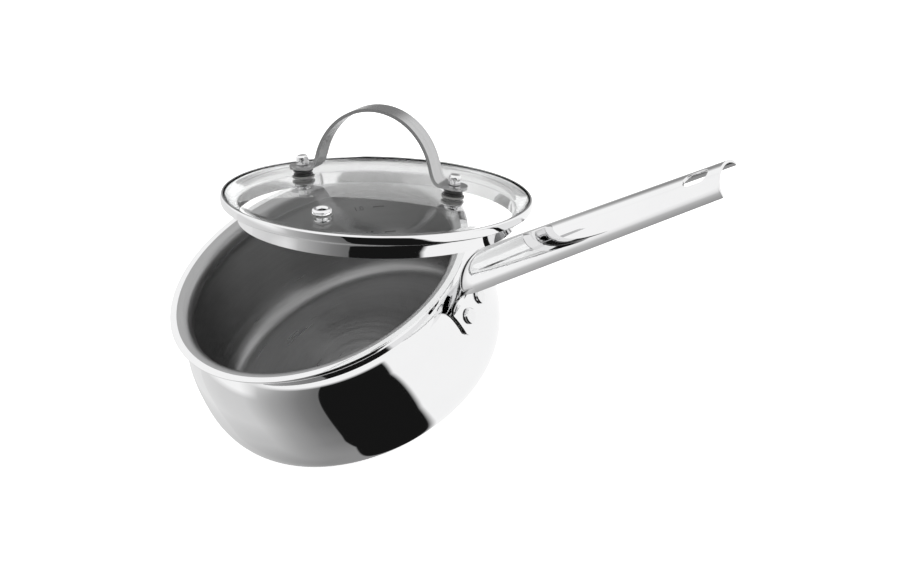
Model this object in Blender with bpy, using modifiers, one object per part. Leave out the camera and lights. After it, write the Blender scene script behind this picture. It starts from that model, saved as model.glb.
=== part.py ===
"""Stainless steel saucepan with a domed glass lid, modelled at real size in metres.

The pan stands on its base at the origin with +Z up, and its channel handle reaches out along
+X. The lid's pieces hang on one empty, which holds the lid ajar above the rim. Each foot of
the lid's strap, the steam vent and each rivet has an empty of its own, square to the surface
that it goes through.
"""

import math

import bmesh
import bpy
import numpy as np
from mathutils import Matrix, Vector

TOUCH_GAP = 0.0003  # left between pieces that touch
HOLE_GAP = 0.0004  # all round a shank in its hole

# Pan body: radii are of the outer surface, heights are above the surface it stands on
PAN_HEIGHT = 0.080
PAN_WALL = 0.0008
NECK_RADIUS = 0.0782
NECK_DROP = 0.0090  # from the rim down to the neck
RIM_FLARE = 0.0098  # how far the rim stands out from the neck
BELLY_BULGE = 0.0113  # how far the belly stands out from the neck
BELLY_HEIGHT = 0.0320
SHOULDER_SWELL = 0.0010  # how far the curve above the belly is drawn outward
LIP_ROUNDING = 0.4  # of the sheet, rounding off the rim's cut edge
FLOOR_INSET = 0.0132  # from the belly in to the edge of the flat floor
PAN_STEPS = 48

# Base: an aluminium disc held to the floor by a steel cap
CORE_THICKNESS = 0.0032
CAP_SHEET = 0.0006
CAP_INSET = 0.0050  # from the edge of the flat floor in to the cap
CAP_CORNER = 0.0024

# Handle: a sheet channel with the arch on top, flat where it is riveted on
HANDLE_SHEET = 0.0015
HANDLE_RISE = math.radians(21.4)
HANDLE_REACH = 0.1654  # along X, from the rim to the end
CREST_LIFT = 0.0053  # crest above the rim's top, straight over the rim's edge
BEND_RUN = 0.0160  # from over the rim's edge out to where the channel runs straight
BEND_HAND = 0.0145  # how far back along the channel its bend is drawn out
ROOT_HALF_WIDTH = 0.0162
END_HALF_WIDTH = 0.0120
ROOT_ARCH = 0.0103
END_ARCH = 0.0078
PLATE_HALF_WIDTH = 0.0160
PLATE_BOTTOM_DROP = 0.0350  # from the rim down to the plate's lower edge
PLATE_TOP_DROP = 0.0190  # from the rim down to where the sheet leaves the wall
PLATE_CORNER = 0.0040
SLOT_LENGTH = 0.0150
SLOT_WIDTH = 0.0086
SLOT_END_MARGIN = 0.0080

# Rivets, side by side on the plate
RIVET_DROP = 0.0262
RIVET_SPACING = 0.0155
RIVET_SHANK_RADIUS = 0.0025
RIVET_HEAD_RADIUS = 0.0046
RIVET_HEAD_HEIGHT = 0.0024
RIVET_INNER_RADIUS = 0.0042
RIVET_INNER_HEIGHT = 0.0011
RIVET_INNER_CHAMFER = 0.0008

# Lid: heights are above the top inner edge of its steel band, in the lid's own frame
LID_INSET = 0.0065  # from the rim's edge in to the band's outermost edge
BAND_SHEET = 0.0005
BAND_CORNER = 0.0008
BAND_COVER = 0.0014  # how far the band reaches in over the glass
LEDGE_WIDTH = 0.0022  # from the band's lower corner in along its ledge
LEDGE_DROP = 0.0003
SKIRT_FILLET = 0.0016
SKIRT_PLAY = 0.0048  # between the skirt and the neck when the lid is on
SKIRT_DEPTH = 0.0134
GLASS_THICKNESS = 0.0034
GLASS_MARGIN = 0.0052  # flat margin held in the band
DOME_RISE = 0.0060
LID_STEPS = 44

# The lid's pose over the pan
LID_TILT = math.radians(29.8)
LID_TILT_AZIMUTH = math.radians(72.3)
LID_SPIN = math.radians(-69.2)
LID_SHIFT_X = 0.0620
LID_SHIFT_Y = -0.0036
LID_CLEARANCE = 0.0055  # straight down from the lid to the handle and to the rim

# Strap handle of the lid
STRAP_SHEET = 0.0018
STRAP_WIDTH = 0.0126
STRAP_FOOT_REACH = 0.0424  # from the lid's axis out to each screw
STRAP_TOE = 0.0072  # from the screw to the foot's rounded end
STRAP_LEG_INSET = 0.0086  # from the screw in to the outside of the leg
STRAP_ARCH_HEIGHT = 0.0378
STRAP_LEG_SPREAD = math.radians(14.0)  # of the arch's round left open at each leg
STRAP_LEG_HAND = 0.0075
STRAP_HEEL_HAND = 0.0035
STRAP_HEEL_GAP = 0.0006  # from the cap nut to where the leg starts to rise

# Hardware through the glass at each foot, heights square to the glass
SCREW_RADIUS = 0.0020
GASKET_RADIUS = 0.0060
GASKET_THICKNESS = 0.0010
SPACER_RADIUS = 0.0053
SPACER_HEIGHT = 0.0032
WASHER_RADIUS = 0.0054
WASHER_THICKNESS = 0.0008
SCREW_HEAD_RADIUS = 0.0038
SCREW_HEAD_HEIGHT = 0.0022
SCREW_HEAD_CORNER = 0.0012
NUT_RADIUS = 0.0033
NUT_HEIGHT = 0.0050
NUT_CAP = 0.0012  # closed end of the cap nut
NUT_CORNER = 0.0014

# Steam vent
VENT_REACH = 0.0579
VENT_ANGLE = math.radians(-94.5)
VENT_BORE_RADIUS = 0.0022
VENT_TUBE_RADIUS = 0.0029
VENT_FLANGE_RADIUS = 0.0050
VENT_FLANGE_HEIGHT = 0.0024
VENT_FOOT_RADIUS = 0.0045
VENT_FOOT_HEIGHT = 0.0008
VENT_FOOT_CHAMFER = 0.0003
VENT_SEAL_RADIUS = 0.0053
VENT_SEAL_THICKNESS = 0.0007
SMALL_STEPS = 16

# Worked out from the sizes above
RIM_RADIUS = NECK_RADIUS + RIM_FLARE
BELLY_RADIUS = NECK_RADIUS + BELLY_BULGE
FLOOR_RADIUS = BELLY_RADIUS - FLOOR_INSET
NECK_HEIGHT = PAN_HEIGHT - NECK_DROP
CORE_BOTTOM = CAP_SHEET + TOUCH_GAP
BODY_BOTTOM = CORE_BOTTOM + CORE_THICKNESS + TOUCH_GAP
CAP_RADIUS = FLOOR_RADIUS - CAP_INSET
BAND_RADIUS = RIM_RADIUS - LID_INSET
GLASS_RADIUS = BAND_RADIUS - BAND_SHEET - TOUCH_GAP
SKIRT_RADIUS = NECK_RADIUS - PAN_WALL - SKIRT_PLAY
LEDGE_DEPTH = 2 * TOUCH_GAP + GLASS_THICKNESS + BAND_SHEET
FOOT_STACK = TOUCH_GAP + GASKET_THICKNESS + TOUCH_GAP + SPACER_HEIGHT + TOUCH_GAP


def bezier(start, start_hand, end_hand, end, count):
    """Points along a cubic curve, both ends included."""
    t = np.linspace(0.0, 1.0, count)[:, None]
    a, b, c, d = (np.array(p, float) for p in (start, start_hand, end_hand, end))
    return (1 - t) ** 3 * a + 3 * (1 - t) ** 2 * t * b + 3 * (1 - t) * t**2 * c + t**3 * d


def arc(centre, radius, start, end, count):
    """Points on an arc between two angles in degrees, both ends included."""
    angles = np.radians(np.linspace(start, end, count))
    ring = np.stack([np.cos(angles), np.sin(angles)], axis=1)
    return np.array(centre) + radius * ring


def joined(*runs):
    """One outline from several, leaving out points that repeat the one before."""
    points = []
    for run in runs:
        for point in np.atleast_2d(run):
            if not points or np.hypot(*(point - points[-1])) > 1e-6:
                points.append(point)
    return np.array(points)


def side_normals(points):
    """Unit normals on the left of an open outline, averaged at its corners."""
    along = np.diff(points, axis=0)
    along /= np.linalg.norm(along, axis=1)[:, None]
    mean = np.vstack([along[:1], along[:-1] + along[1:], along[-1:]])
    mean /= np.linalg.norm(mean, axis=1)[:, None]
    return np.stack([-mean[:, 1], mean[:, 0]], axis=1)


def material(name, colour, metallic, roughness, transmission=0.0):
    """A Principled BSDF material."""
    made = bpy.data.materials.new(name)
    made.use_nodes = True
    shader = made.node_tree.nodes["Principled BSDF"]
    shader.inputs["Base Color"].default_value = (*colour, 1.0)
    shader.inputs["Metallic"].default_value = metallic
    shader.inputs["Roughness"].default_value = roughness
    shader.inputs["Transmission Weight"].default_value = transmission
    made.diffuse_color = (*colour, 1.0)
    return made


def add_collection(name):
    """A new collection in the scene."""
    made = bpy.data.collections.new(name)
    bpy.context.scene.collection.children.link(made)
    return made


def add_empty(collection, name, matrix, parent=None):
    """An empty that its children's shapes are placed by."""
    made = bpy.data.objects.new(name, None)
    made.empty_display_size = 0.01
    made.parent = parent
    made.matrix_local = matrix
    collection.objects.link(made)
    return made


def add_object(collection, name, mesh, finish=None, parent=None):
    """A mesh object, shaded smooth except at its sharp edges."""
    made = bpy.data.objects.new(name, mesh)
    made.parent = parent
    if finish:
        mesh.materials.append(finish)
    collection.objects.link(made)
    return made


def turned(collection, name, outline, finish, steps, parent=None, closed=False):
    """A solid turned about Z from an outline of (radius, height) that runs down its outer side.

    An open outline starts and ends on the axis, and a closed one makes a ring.
    """
    mesh = bpy.data.meshes.new(name)
    count = len(outline)
    edges = [(i, i + 1) for i in range(count - 1)] + ([(count - 1, 0)] if closed else [])
    mesh.from_pydata([(r, 0.0, z) for r, z in outline], edges, [])
    made = add_object(collection, name, mesh, finish, parent)
    screw = made.modifiers.new("turn", "SCREW")
    screw.steps = screw.render_steps = steps
    screw.use_merge_vertices = True
    screw.merge_threshold = 0.00001
    screw.use_smooth_shade = True
    return made


def cylinder_cutter(cutters, name, radius, low, high, parent):
    """A cylinder about its parent's Z that cuts a round hole."""
    shape = bmesh.new()
    bmesh.ops.create_cone(
        shape,
        cap_ends=True,
        segments=SMALL_STEPS,
        radius1=radius,
        radius2=radius,
        depth=high - low,
        matrix=Matrix.Translation((0.0, 0.0, (low + high) / 2)),
    )
    mesh = bpy.data.meshes.new(name)
    shape.to_mesh(mesh)
    shape.free()
    return hidden(add_object(cutters, name, mesh, parent=parent))


def hidden(cutter):
    """Marks an object as a cutter."""
    cutter.hide_render = True
    cutter.display_type = "WIRE"
    return cutter


def cut(piece, cutter):
    """Takes the cutter's shape out of the piece."""
    made = piece.modifiers.new(f"cut {cutter.name}", "BOOLEAN")
    made.operation = "DIFFERENCE"
    made.object = cutter


def frame_on(origin, outward, side):
    """A matrix at origin whose Z points outward and whose Y is nearest to side."""
    z = Vector(outward).normalized()
    x = Vector(side).cross(z).normalized()
    axes = Matrix((x, z.cross(x), z)).transposed().to_4x4()
    return Matrix.Translation(origin) @ axes


def wall_line():
    """The middle of the pan's sheet, as (radius, height), from the floor's centre to the rim."""
    half = PAN_WALL / 2
    floor = BODY_BOTTOM + half
    belly = BELLY_RADIUS - half
    neck = NECK_RADIUS - half
    rim = (RIM_RADIUS - PAN_WALL * LIP_ROUNDING, PAN_HEIGHT - half)
    angles = np.radians(np.linspace(-90.0, 0.0, 7))
    corner = np.stack(
        [
            FLOOR_RADIUS + (belly - FLOOR_RADIUS) * np.cos(angles),
            BELLY_HEIGHT + (BELLY_HEIGHT - floor) * np.sin(angles),
        ],
        axis=1,
    )
    shoulder_drop = NECK_DROP / 3
    shoulder = bezier(
        (belly, BELLY_HEIGHT),
        (belly + SHOULDER_SWELL, NECK_HEIGHT - shoulder_drop),
        (neck, NECK_HEIGHT - shoulder_drop),
        (neck, NECK_HEIGHT),
        8,
    )
    flare = bezier(
        (neck, NECK_HEIGHT),
        (neck, NECK_HEIGHT + NECK_DROP * 0.80),
        (neck + RIM_FLARE * 0.28, PAN_HEIGHT - half),
        rim,
        7,
    )
    return joined([(0.0, floor)], corner, shoulder, flare)


def wall_at_height(height):
    """A point of the pan's outer surface above the belly, as (radius, height, normal)."""
    line = wall_line()
    normals = -side_normals(line)
    upper = line[:, 1] > BELLY_HEIGHT
    heights = line[upper, 1]
    radius = np.interp(height, heights, line[upper, 0])
    normal = [np.interp(height, heights, normals[upper, i]) for i in (0, 1)]
    normal = np.array(normal) / np.hypot(*normal)
    point = np.array([radius, height]) + normal * PAN_WALL / 2
    return point, normal


def make_pan_body(parts, finish):
    """The pressed steel pan: floor, bellied wall, narrow neck and flared rim in one sheet."""
    line = wall_line()
    normals = side_normals(line)
    normals[0] = (0.0, 1.0)
    inner = line + normals * PAN_WALL / 2
    outer = line - normals * PAN_WALL / 2
    outward = (line[-1] - line[-2]) / np.linalg.norm(line[-1] - line[-2])
    lip = line[-1] + outward * PAN_WALL * LIP_ROUNDING
    outline = joined(inner, lip, outer[::-1])
    return turned(parts, "pan_body", outline, finish, PAN_STEPS)


def make_base(parts, core_finish, cap_finish):
    """The aluminium disc under the floor and the steel cap that closes it in."""
    core_radius = CAP_RADIUS - CAP_SHEET - CAP_CORNER
    top = CORE_BOTTOM + CORE_THICKNESS
    core = [(0.0, top), (core_radius, top), (core_radius, CORE_BOTTOM), (0.0, CORE_BOTTOM)]
    turned(parts, "base_core", core, core_finish, PAN_STEPS)
    corner = (CAP_RADIUS - CAP_CORNER, CAP_CORNER)
    cap = joined(
        [(0.0, CAP_SHEET)],
        arc(corner, CAP_CORNER - CAP_SHEET, -90.0, 0.0, 4),
        [(CAP_RADIUS - CAP_SHEET, top), (CAP_RADIUS, top)],
        arc(corner, CAP_CORNER, 0.0, -90.0, 4),
        [(0.0, 0.0)],
    )
    turned(parts, "base_cap", cap, cap_finish, PAN_STEPS)


def crest_line():
    """The middle of the handle's sheet on its plane of symmetry, in X and Z.

    Returns the points and, for each, how far the sheet has turned from plate into channel.
    """
    offset = TOUCH_GAP * 1.5 + HANDLE_SHEET / 2
    heights = np.linspace(PAN_HEIGHT - PLATE_BOTTOM_DROP, PAN_HEIGHT - PLATE_TOP_DROP, 7)
    plate = []
    for height in heights:
        point, normal = wall_at_height(height)
        plate.append(point + normal * offset)
    plate = np.array(plate)
    along = np.array([math.cos(HANDLE_RISE), math.sin(HANDLE_RISE)])
    up = np.array([-along[1], along[0]])
    over_rim = np.array([RIM_RADIUS, PAN_HEIGHT + CREST_LIFT]) - up * HANDLE_SHEET / 2
    channel_start = over_rim + along * BEND_RUN
    end = over_rim + along * HANDLE_REACH / math.cos(HANDLE_RISE)
    under_rim = (RIM_RADIUS, (plate[-1][1] + PAN_HEIGHT) / 2)
    hand = channel_start - along * BEND_HAND
    bend = bezier(plate[-1], under_rim, hand, channel_start, 12)
    straight = channel_start + np.linspace(0.0, 1.0, 7)[:, None] * (end - channel_start)
    line = np.vstack([plate, bend[1:], straight[1:]])
    turn = np.concatenate([np.zeros(len(plate)), np.linspace(0.0, 1.0, 12)[1:], np.ones(6)])
    return line, turn * turn * (3 - 2 * turn)


def handle_section(turn, half_width, arch, radius, count=11):
    """Across the handle: offsets sideways, in towards the pan and down into the arch."""
    across = np.linspace(-1.0, 1.0, count)
    plate_side = half_width * across
    plate_drop = radius * (1 - np.sqrt(1 - (plate_side / radius) ** 2))
    arch_side = half_width * np.sin(across * math.pi / 2)
    arch_drop = arch * (1 - np.cos(across * math.pi / 2))
    side = (1 - turn) * plate_side + turn * arch_side
    return side, (1 - turn) * plate_drop, turn * arch_drop


def handle_surface():
    """Rows of points on the middle of the handle's sheet, from the plate to the far end."""
    line, turns = crest_line()
    under = -side_normals(line)
    steps = np.linalg.norm(np.diff(line, axis=0), axis=1)
    travelled = np.concatenate([[0.0], np.cumsum(steps)])
    first = np.argmax(turns >= 1.0)
    along_channel = np.clip((travelled - travelled[first]) / (travelled[-1] - travelled[first]), 0, 1)
    rows = []
    for point, turn, down, run, share in zip(line, turns, under, travelled, along_channel):
        root = (1 - turn) * PLATE_HALF_WIDTH + turn * ROOT_HALF_WIDTH
        half_width = root + (END_HALF_WIDTH - ROOT_HALF_WIDTH) * share
        arch = ROOT_ARCH + (END_ARCH - ROOT_ARCH) * share
        if run < PLATE_CORNER:
            half_width -= PLATE_CORNER - math.sqrt(PLATE_CORNER**2 - (PLATE_CORNER - run) ** 2)
        across = zip(*handle_section(turn, half_width, arch, point[0]))
        rows.append([(point[0] - i + d * down[0], s, point[1] + d * down[1]) for s, i, d in across])
    return rows


def lofted_sheet(collection, name, rows, thickness, finish, parent=None):
    """A sheet through rows of points, thickened evenly to both sides."""
    mesh = bpy.data.meshes.new(name)
    width = len(rows[0])
    quads = [
        (r * width + c, r * width + c + 1, (r + 1) * width + c + 1, (r + 1) * width + c)
        for r in range(len(rows) - 1)
        for c in range(width - 1)
    ]
    mesh.from_pydata([p for row in rows for p in row], [], quads)
    mesh.shade_smooth()
    made = add_object(collection, name, mesh, finish, parent)
    shell = made.modifiers.new("thickness", "SOLIDIFY")
    shell.thickness = thickness
    shell.offset = 0.0
    shell.use_even_offset = True
    return made


def make_slot_cutter(cutters):
    """A prism with rounded ends that cuts the hanging slot through the handle's crest."""
    line, _ = crest_line()
    along = (line[-1] - line[-2]) / np.linalg.norm(line[-1] - line[-2])
    centre = line[-1] - along * (SLOT_END_MARGIN + SLOT_LENGTH / 2)
    radius = SLOT_WIDTH / 2
    half = SLOT_LENGTH / 2 - radius
    outline = joined(arc((half, 0.0), radius, -90, 90, 9), arc((-half, 0.0), radius, 90, 270, 9))
    shape = bmesh.new()
    ring = [shape.verts.new((x, y, -ROOT_ARCH)) for x, y in outline]
    face = shape.faces.new(ring)
    grown = bmesh.ops.extrude_face_region(shape, geom=[face])
    lifted = [v for v in grown["geom"] if isinstance(v, bmesh.types.BMVert)]
    bmesh.ops.translate(shape, vec=(0.0, 0.0, 2 * ROOT_ARCH), verts=lifted)
    bmesh.ops.recalc_face_normals(shape, faces=shape.faces)
    mesh = bpy.data.meshes.new("slot_cutter")
    shape.to_mesh(mesh)
    shape.free()
    made = hidden(add_object(cutters, "slot_cutter", mesh))
    made.location = (centre[0], 0.0, centre[1])
    made.rotation_euler = (0.0, -HANDLE_RISE, 0.0)
    return made


def make_rivet(parts, cutters, name, side, finish, pieces):
    """A rivet square to the wall, and its hole through the plate and the wall."""
    point, normal = wall_at_height(PAN_HEIGHT - RIVET_DROP)
    azimuth = side * RIVET_SPACING / 2 / point[0]
    turn = Matrix.Rotation(azimuth, 3, "Z")
    origin = turn @ Vector((point[0], 0.0, point[1]))
    outward = turn @ Vector((normal[0], 0.0, normal[1]))
    frame = add_empty(parts, f"{name}_frame", frame_on(origin, outward, (0.0, 0.0, 1.0)))
    seat = TOUCH_GAP * 2.5 + HANDLE_SHEET
    inner_seat = -PAN_WALL - TOUCH_GAP * 1.7
    inner_end = inner_seat - RIVET_INNER_HEIGHT
    dome = bezier(
        (0.0, seat + RIVET_HEAD_HEIGHT),
        (RIVET_HEAD_RADIUS * 0.6, seat + RIVET_HEAD_HEIGHT),
        (RIVET_HEAD_RADIUS, seat + RIVET_HEAD_HEIGHT * 0.75),
        (RIVET_HEAD_RADIUS, seat),
        7,
    )
    outline = joined(
        dome,
        [(RIVET_SHANK_RADIUS, seat), (RIVET_SHANK_RADIUS, inner_seat)],
        [(RIVET_INNER_RADIUS, inner_seat), (RIVET_INNER_RADIUS - RIVET_INNER_CHAMFER, inner_end)],
        [(0.0, inner_end)],
    )
    turned(parts, name, outline, finish, SMALL_STEPS, frame)
    reach = RIVET_HEAD_HEIGHT + HANDLE_SHEET
    bore = RIVET_SHANK_RADIUS + HOLE_GAP
    cutter = cylinder_cutter(cutters, f"{name}_cutter", bore, -reach, reach, frame)
    for piece in pieces:
        cut(piece, cutter)


def make_handle(parts, cutters, finish):
    """The channel handle with its riveting plate and hanging slot."""
    made = lofted_sheet(parts, "handle", handle_surface(), HANDLE_SHEET, finish)
    cut(made, make_slot_cutter(cutters))
    return made


def dome_line(count=7):
    """The glass's upper surface, as (radius, height), from the centre to the flat margin."""
    edge = GLASS_RADIUS - GLASS_MARGIN
    sphere = (edge**2 + DOME_RISE**2) / (2 * DOME_RISE)
    rim_angle = 90.0 - math.degrees(math.asin(edge / sphere))
    return arc((0.0, DOME_RISE - sphere - TOUCH_GAP), sphere, 90.0, rim_angle, count)


def dome_point(radius):
    """Height and slope angle of the glass's upper surface at a radius."""
    line = dome_line(200)
    height = np.interp(radius, line[:, 0], line[:, 1])
    slope = np.interp(radius, line[:-1, 0], np.diff(line[:, 1]) / np.diff(line[:, 0]))
    return float(height), math.atan(float(slope))


def make_glass(parts, finish, lid):
    """The domed glass with a flat margin and a rounded edge."""
    upper = dome_line()
    normals = side_normals(upper)
    normals[0] = (0.0, 1.0)
    normals[-1] = (0.0, 1.0)
    lower = upper - normals * GLASS_THICKNESS
    middle = -TOUCH_GAP - GLASS_THICKNESS / 2
    edge = arc((GLASS_RADIUS - GLASS_THICKNESS / 2, middle), GLASS_THICKNESS / 2, 90, -90, 5)
    return turned(parts, "lid_glass", joined(upper, edge, lower[::-1]), finish, LID_STEPS, lid)


def make_band(parts, finish, lid):
    """The steel band: a lip over the glass, a bead, a ledge under it and the skirt."""
    half = BAND_SHEET / 2
    bead = BAND_RADIUS - half
    under = -TOUCH_GAP * 2 - GLASS_THICKNESS - half
    skirt = SKIRT_RADIUS - half
    corner = bead - BAND_CORNER
    ledge = (corner - LEDGE_WIDTH, under - LEDGE_DROP)
    fillet_top = (skirt + 2 * SKIRT_FILLET, ledge[1] - SKIRT_FILLET / 2)
    fillet_end = (skirt, ledge[1] - 2 * SKIRT_FILLET)
    line = joined(
        [(BAND_RADIUS - BAND_COVER, half), (corner, half)],
        arc((corner, half - BAND_CORNER), BAND_CORNER, 90, 0, 3),
        arc((corner, under + BAND_CORNER), BAND_CORNER, 0, -90, 3),
        [ledge],
        bezier(
            fillet_top,
            (skirt + SKIRT_FILLET, fillet_top[1] - LEDGE_DROP),
            (skirt, fillet_end[1] + SKIRT_FILLET),
            fillet_end,
            4,
        ),
        [(skirt, -SKIRT_DEPTH)],
    )
    normals = side_normals(line)
    outline = joined(line + normals * half, (line - normals * half)[::-1])
    return turned(parts, "lid_band", outline, finish, LID_STEPS, lid, closed=True)


def foot_frame(parts, name, side, lid):
    """An empty on the glass under one foot of the strap, square to the glass."""
    height, slope = dome_point(STRAP_FOOT_REACH)
    outward = (-side * math.sin(slope), 0.0, math.cos(slope))
    origin = (side * STRAP_FOOT_REACH, 0.0, height)
    return add_empty(parts, name, frame_on(origin, outward, (0.0, 1.0, 0.0)), lid)


def strap_half_line():
    """The middle of the strap from its crown to one toe, as (reach, height) in the lid's frame."""
    height, slope = dome_point(STRAP_FOOT_REACH)
    along = np.array([math.cos(slope), math.sin(slope)])
    square = np.array([-along[1], along[0]])
    screw = np.array([STRAP_FOOT_REACH, height]) + square * (FOOT_STACK + STRAP_SHEET / 2)
    toe = screw + along * STRAP_TOE
    leg = STRAP_FOOT_REACH - STRAP_LEG_INSET - STRAP_SHEET / 2
    base = screw[1]
    crown = base + STRAP_ARCH_HEIGHT - STRAP_SHEET
    angles = np.linspace(math.pi / 2, STRAP_LEG_SPREAD, 15)
    arch = np.stack([leg * np.cos(angles), base + (crown - base) * np.sin(angles)], axis=1)
    heading = (arch[-1] - arch[-2]) / np.linalg.norm(arch[-1] - arch[-2])
    heel = screw - along * (NUT_RADIUS + STRAP_HEEL_GAP)
    leg_hand = arch[-1] + heading * STRAP_LEG_HAND
    fillet = bezier(arch[-1], leg_hand, heel - along * STRAP_HEEL_HAND, heel, 9)
    return joined(arch, fillet, [toe])


def make_strap(parts, cutters, finish, lid, feet):
    """The arched strap with rounded toes, drilled for its two screws."""
    half_line = strap_half_line()
    line = np.vstack([half_line[::-1] * (-1, 1), half_line[1:]])
    gaps = np.linalg.norm(np.diff(line, axis=0), axis=1)
    travelled = np.concatenate([[0.0], np.cumsum(gaps)])
    radius = STRAP_WIDTH / 2
    stations = radius * (1 - np.cos(np.radians(np.linspace(8.0, 90.0, 7))))
    total = travelled[-1]
    inner = travelled[(travelled > radius * 1.02) & (travelled < total - radius * 1.02)]
    stations = np.concatenate([stations, inner, total - stations[::-1]])
    rows = []
    for run in stations:
        x, z = (np.interp(run, travelled, line[:, i]) for i in (0, 1))
        from_toe = min(run, total - run)
        half = radius
        if from_toe < radius:
            half = math.sqrt(radius**2 - (radius - from_toe) ** 2)
        rows.append([(x, half * s, z) for s in np.linspace(-1.0, 1.0, 5)])
    made = lofted_sheet(parts, "lid_strap", rows, STRAP_SHEET, finish, lid)
    for foot in feet:
        bore = SCREW_RADIUS + HOLE_GAP
        low, high = FOOT_STACK - TOUCH_GAP, FOOT_STACK + 2 * STRAP_SHEET
        cut(made, cylinder_cutter(cutters, f"{foot.name}_strap_cutter", bore, low, high, foot))


def ring_outline(inner, outer, low, high):
    """A flat ring's outline, run down its outer side."""
    return [(inner, high), (outer, high), (outer, low), (inner, low)]


def make_foot_hardware(parts, cutters, finishes, foot, tag, glass):
    """Everything that clamps one foot of the strap to the glass."""
    bore = SCREW_RADIUS + HOLE_GAP
    rubber, steel, dark = finishes["rubber"], finishes["satin"], finishes["spacer"]

    def stacked(name, inner, outer, low, high, finish):
        outline = ring_outline(inner, outer, low, high)
        turned(parts, f"{name}_{tag}", outline, finish, SMALL_STEPS, foot, closed=True)

    low = TOUCH_GAP
    stacked("seal_washer_upper", bore, GASKET_RADIUS, low, low + GASKET_THICKNESS, rubber)
    low += GASKET_THICKNESS + TOUCH_GAP
    stacked("spacer", bore, SPACER_RADIUS, low, low + SPACER_HEIGHT, dark)
    high = -GLASS_THICKNESS - 1.5 * TOUCH_GAP
    stacked("seal_washer_lower", bore, GASKET_RADIUS, high - GASKET_THICKNESS, high, rubber)
    high -= GASKET_THICKNESS + TOUCH_GAP
    stacked("washer", bore, WASHER_RADIUS, high - WASHER_THICKNESS, high, steel)
    head_top = high - WASHER_THICKNESS - TOUCH_GAP
    nut_bottom = FOOT_STACK + STRAP_SHEET + TOUCH_GAP
    nut_top = nut_bottom + NUT_HEIGHT
    tip = nut_top - NUT_CAP - TOUCH_GAP
    head_end = head_top - SCREW_HEAD_HEIGHT
    corner = (SCREW_HEAD_RADIUS - SCREW_HEAD_CORNER, head_end + SCREW_HEAD_CORNER)
    screw = joined(
        [(0.0, tip), (SCREW_RADIUS, tip), (SCREW_RADIUS, head_top), (SCREW_HEAD_RADIUS, head_top)],
        arc(corner, SCREW_HEAD_CORNER, 0, -90, 5),
        [(0.0, head_end)],
    )
    turned(parts, f"screw_{tag}", screw, steel, SMALL_STEPS, foot)
    thread = SCREW_RADIUS + TOUCH_GAP
    nut = joined(
        [(0.0, nut_top)],
        arc((NUT_RADIUS - NUT_CORNER, nut_top - NUT_CORNER), NUT_CORNER, 90, 0, 6),
        [(NUT_RADIUS, nut_bottom), (thread, nut_bottom), (thread, nut_top - NUT_CAP)],
        [(0.0, nut_top - NUT_CAP)],
    )
    turned(parts, f"cap_nut_{tag}", nut, finishes["mirror"], SMALL_STEPS, foot)
    cut(glass, cylinder_cutter(cutters, f"{tag}_glass_cutter", bore, -2 * GLASS_THICKNESS, TOUCH_GAP, foot))


def make_vent(parts, cutters, finishes, lid, glass):
    """The steam vent: an eyelet through the glass on a rubber seal."""
    height, slope = dome_point(VENT_REACH)
    out = Vector((math.cos(VENT_ANGLE), math.sin(VENT_ANGLE), 0.0))
    outward = out * -math.sin(slope) + Vector((0.0, 0.0, math.cos(slope)))
    origin = out * VENT_REACH + Vector((0.0, 0.0, height))
    frame = add_empty(parts, "vent_frame", frame_on(origin, outward, (0.0, 1.0, 0.0)), lid)
    seat = 2 * TOUCH_GAP + VENT_SEAL_THICKNESS
    foot = -GLASS_THICKNESS - 1.5 * TOUCH_GAP
    crown = VENT_FLANGE_HEIGHT / 2
    roll = (VENT_FLANGE_RADIUS - VENT_BORE_RADIUS) / 2
    ring = arc((0.0, 0.0), 1.0, 180, 0, 9) * (roll, crown) + (VENT_BORE_RADIUS + roll, seat + crown)
    eyelet = joined(
        ring,
        [(VENT_FLANGE_RADIUS, seat), (VENT_TUBE_RADIUS, seat), (VENT_TUBE_RADIUS, foot)],
        [(VENT_FOOT_RADIUS, foot), (VENT_FOOT_RADIUS - VENT_FOOT_CHAMFER, foot - VENT_FOOT_HEIGHT)],
        [(VENT_BORE_RADIUS, foot - VENT_FOOT_HEIGHT)],
    )
    turned(parts, "vent_eyelet", eyelet, finishes["mirror"], SMALL_STEPS, frame, closed=True)
    bore = VENT_TUBE_RADIUS + HOLE_GAP
    seal = ring_outline(bore, VENT_SEAL_RADIUS, TOUCH_GAP, TOUCH_GAP + VENT_SEAL_THICKNESS)
    turned(parts, "vent_seal", seal, finishes["rubber"], SMALL_STEPS, frame, closed=True)
    cut(glass, cylinder_cutter(cutters, "vent_cutter", bore, -2 * GLASS_THICKNESS, TOUCH_GAP, frame))


def make_pan(parts, cutters, finishes):
    """The pan with its base and its riveted handle."""
    body = make_pan_body(parts, finishes["mirror"])
    make_base(parts, finishes["aluminium"], finishes["satin"])
    handle = make_handle(parts, cutters, finishes["mirror"])
    for name, side in (("rivet_left", 1), ("rivet_right", -1)):
        make_rivet(parts, cutters, name, side, finishes["satin"], (body, handle))


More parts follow.
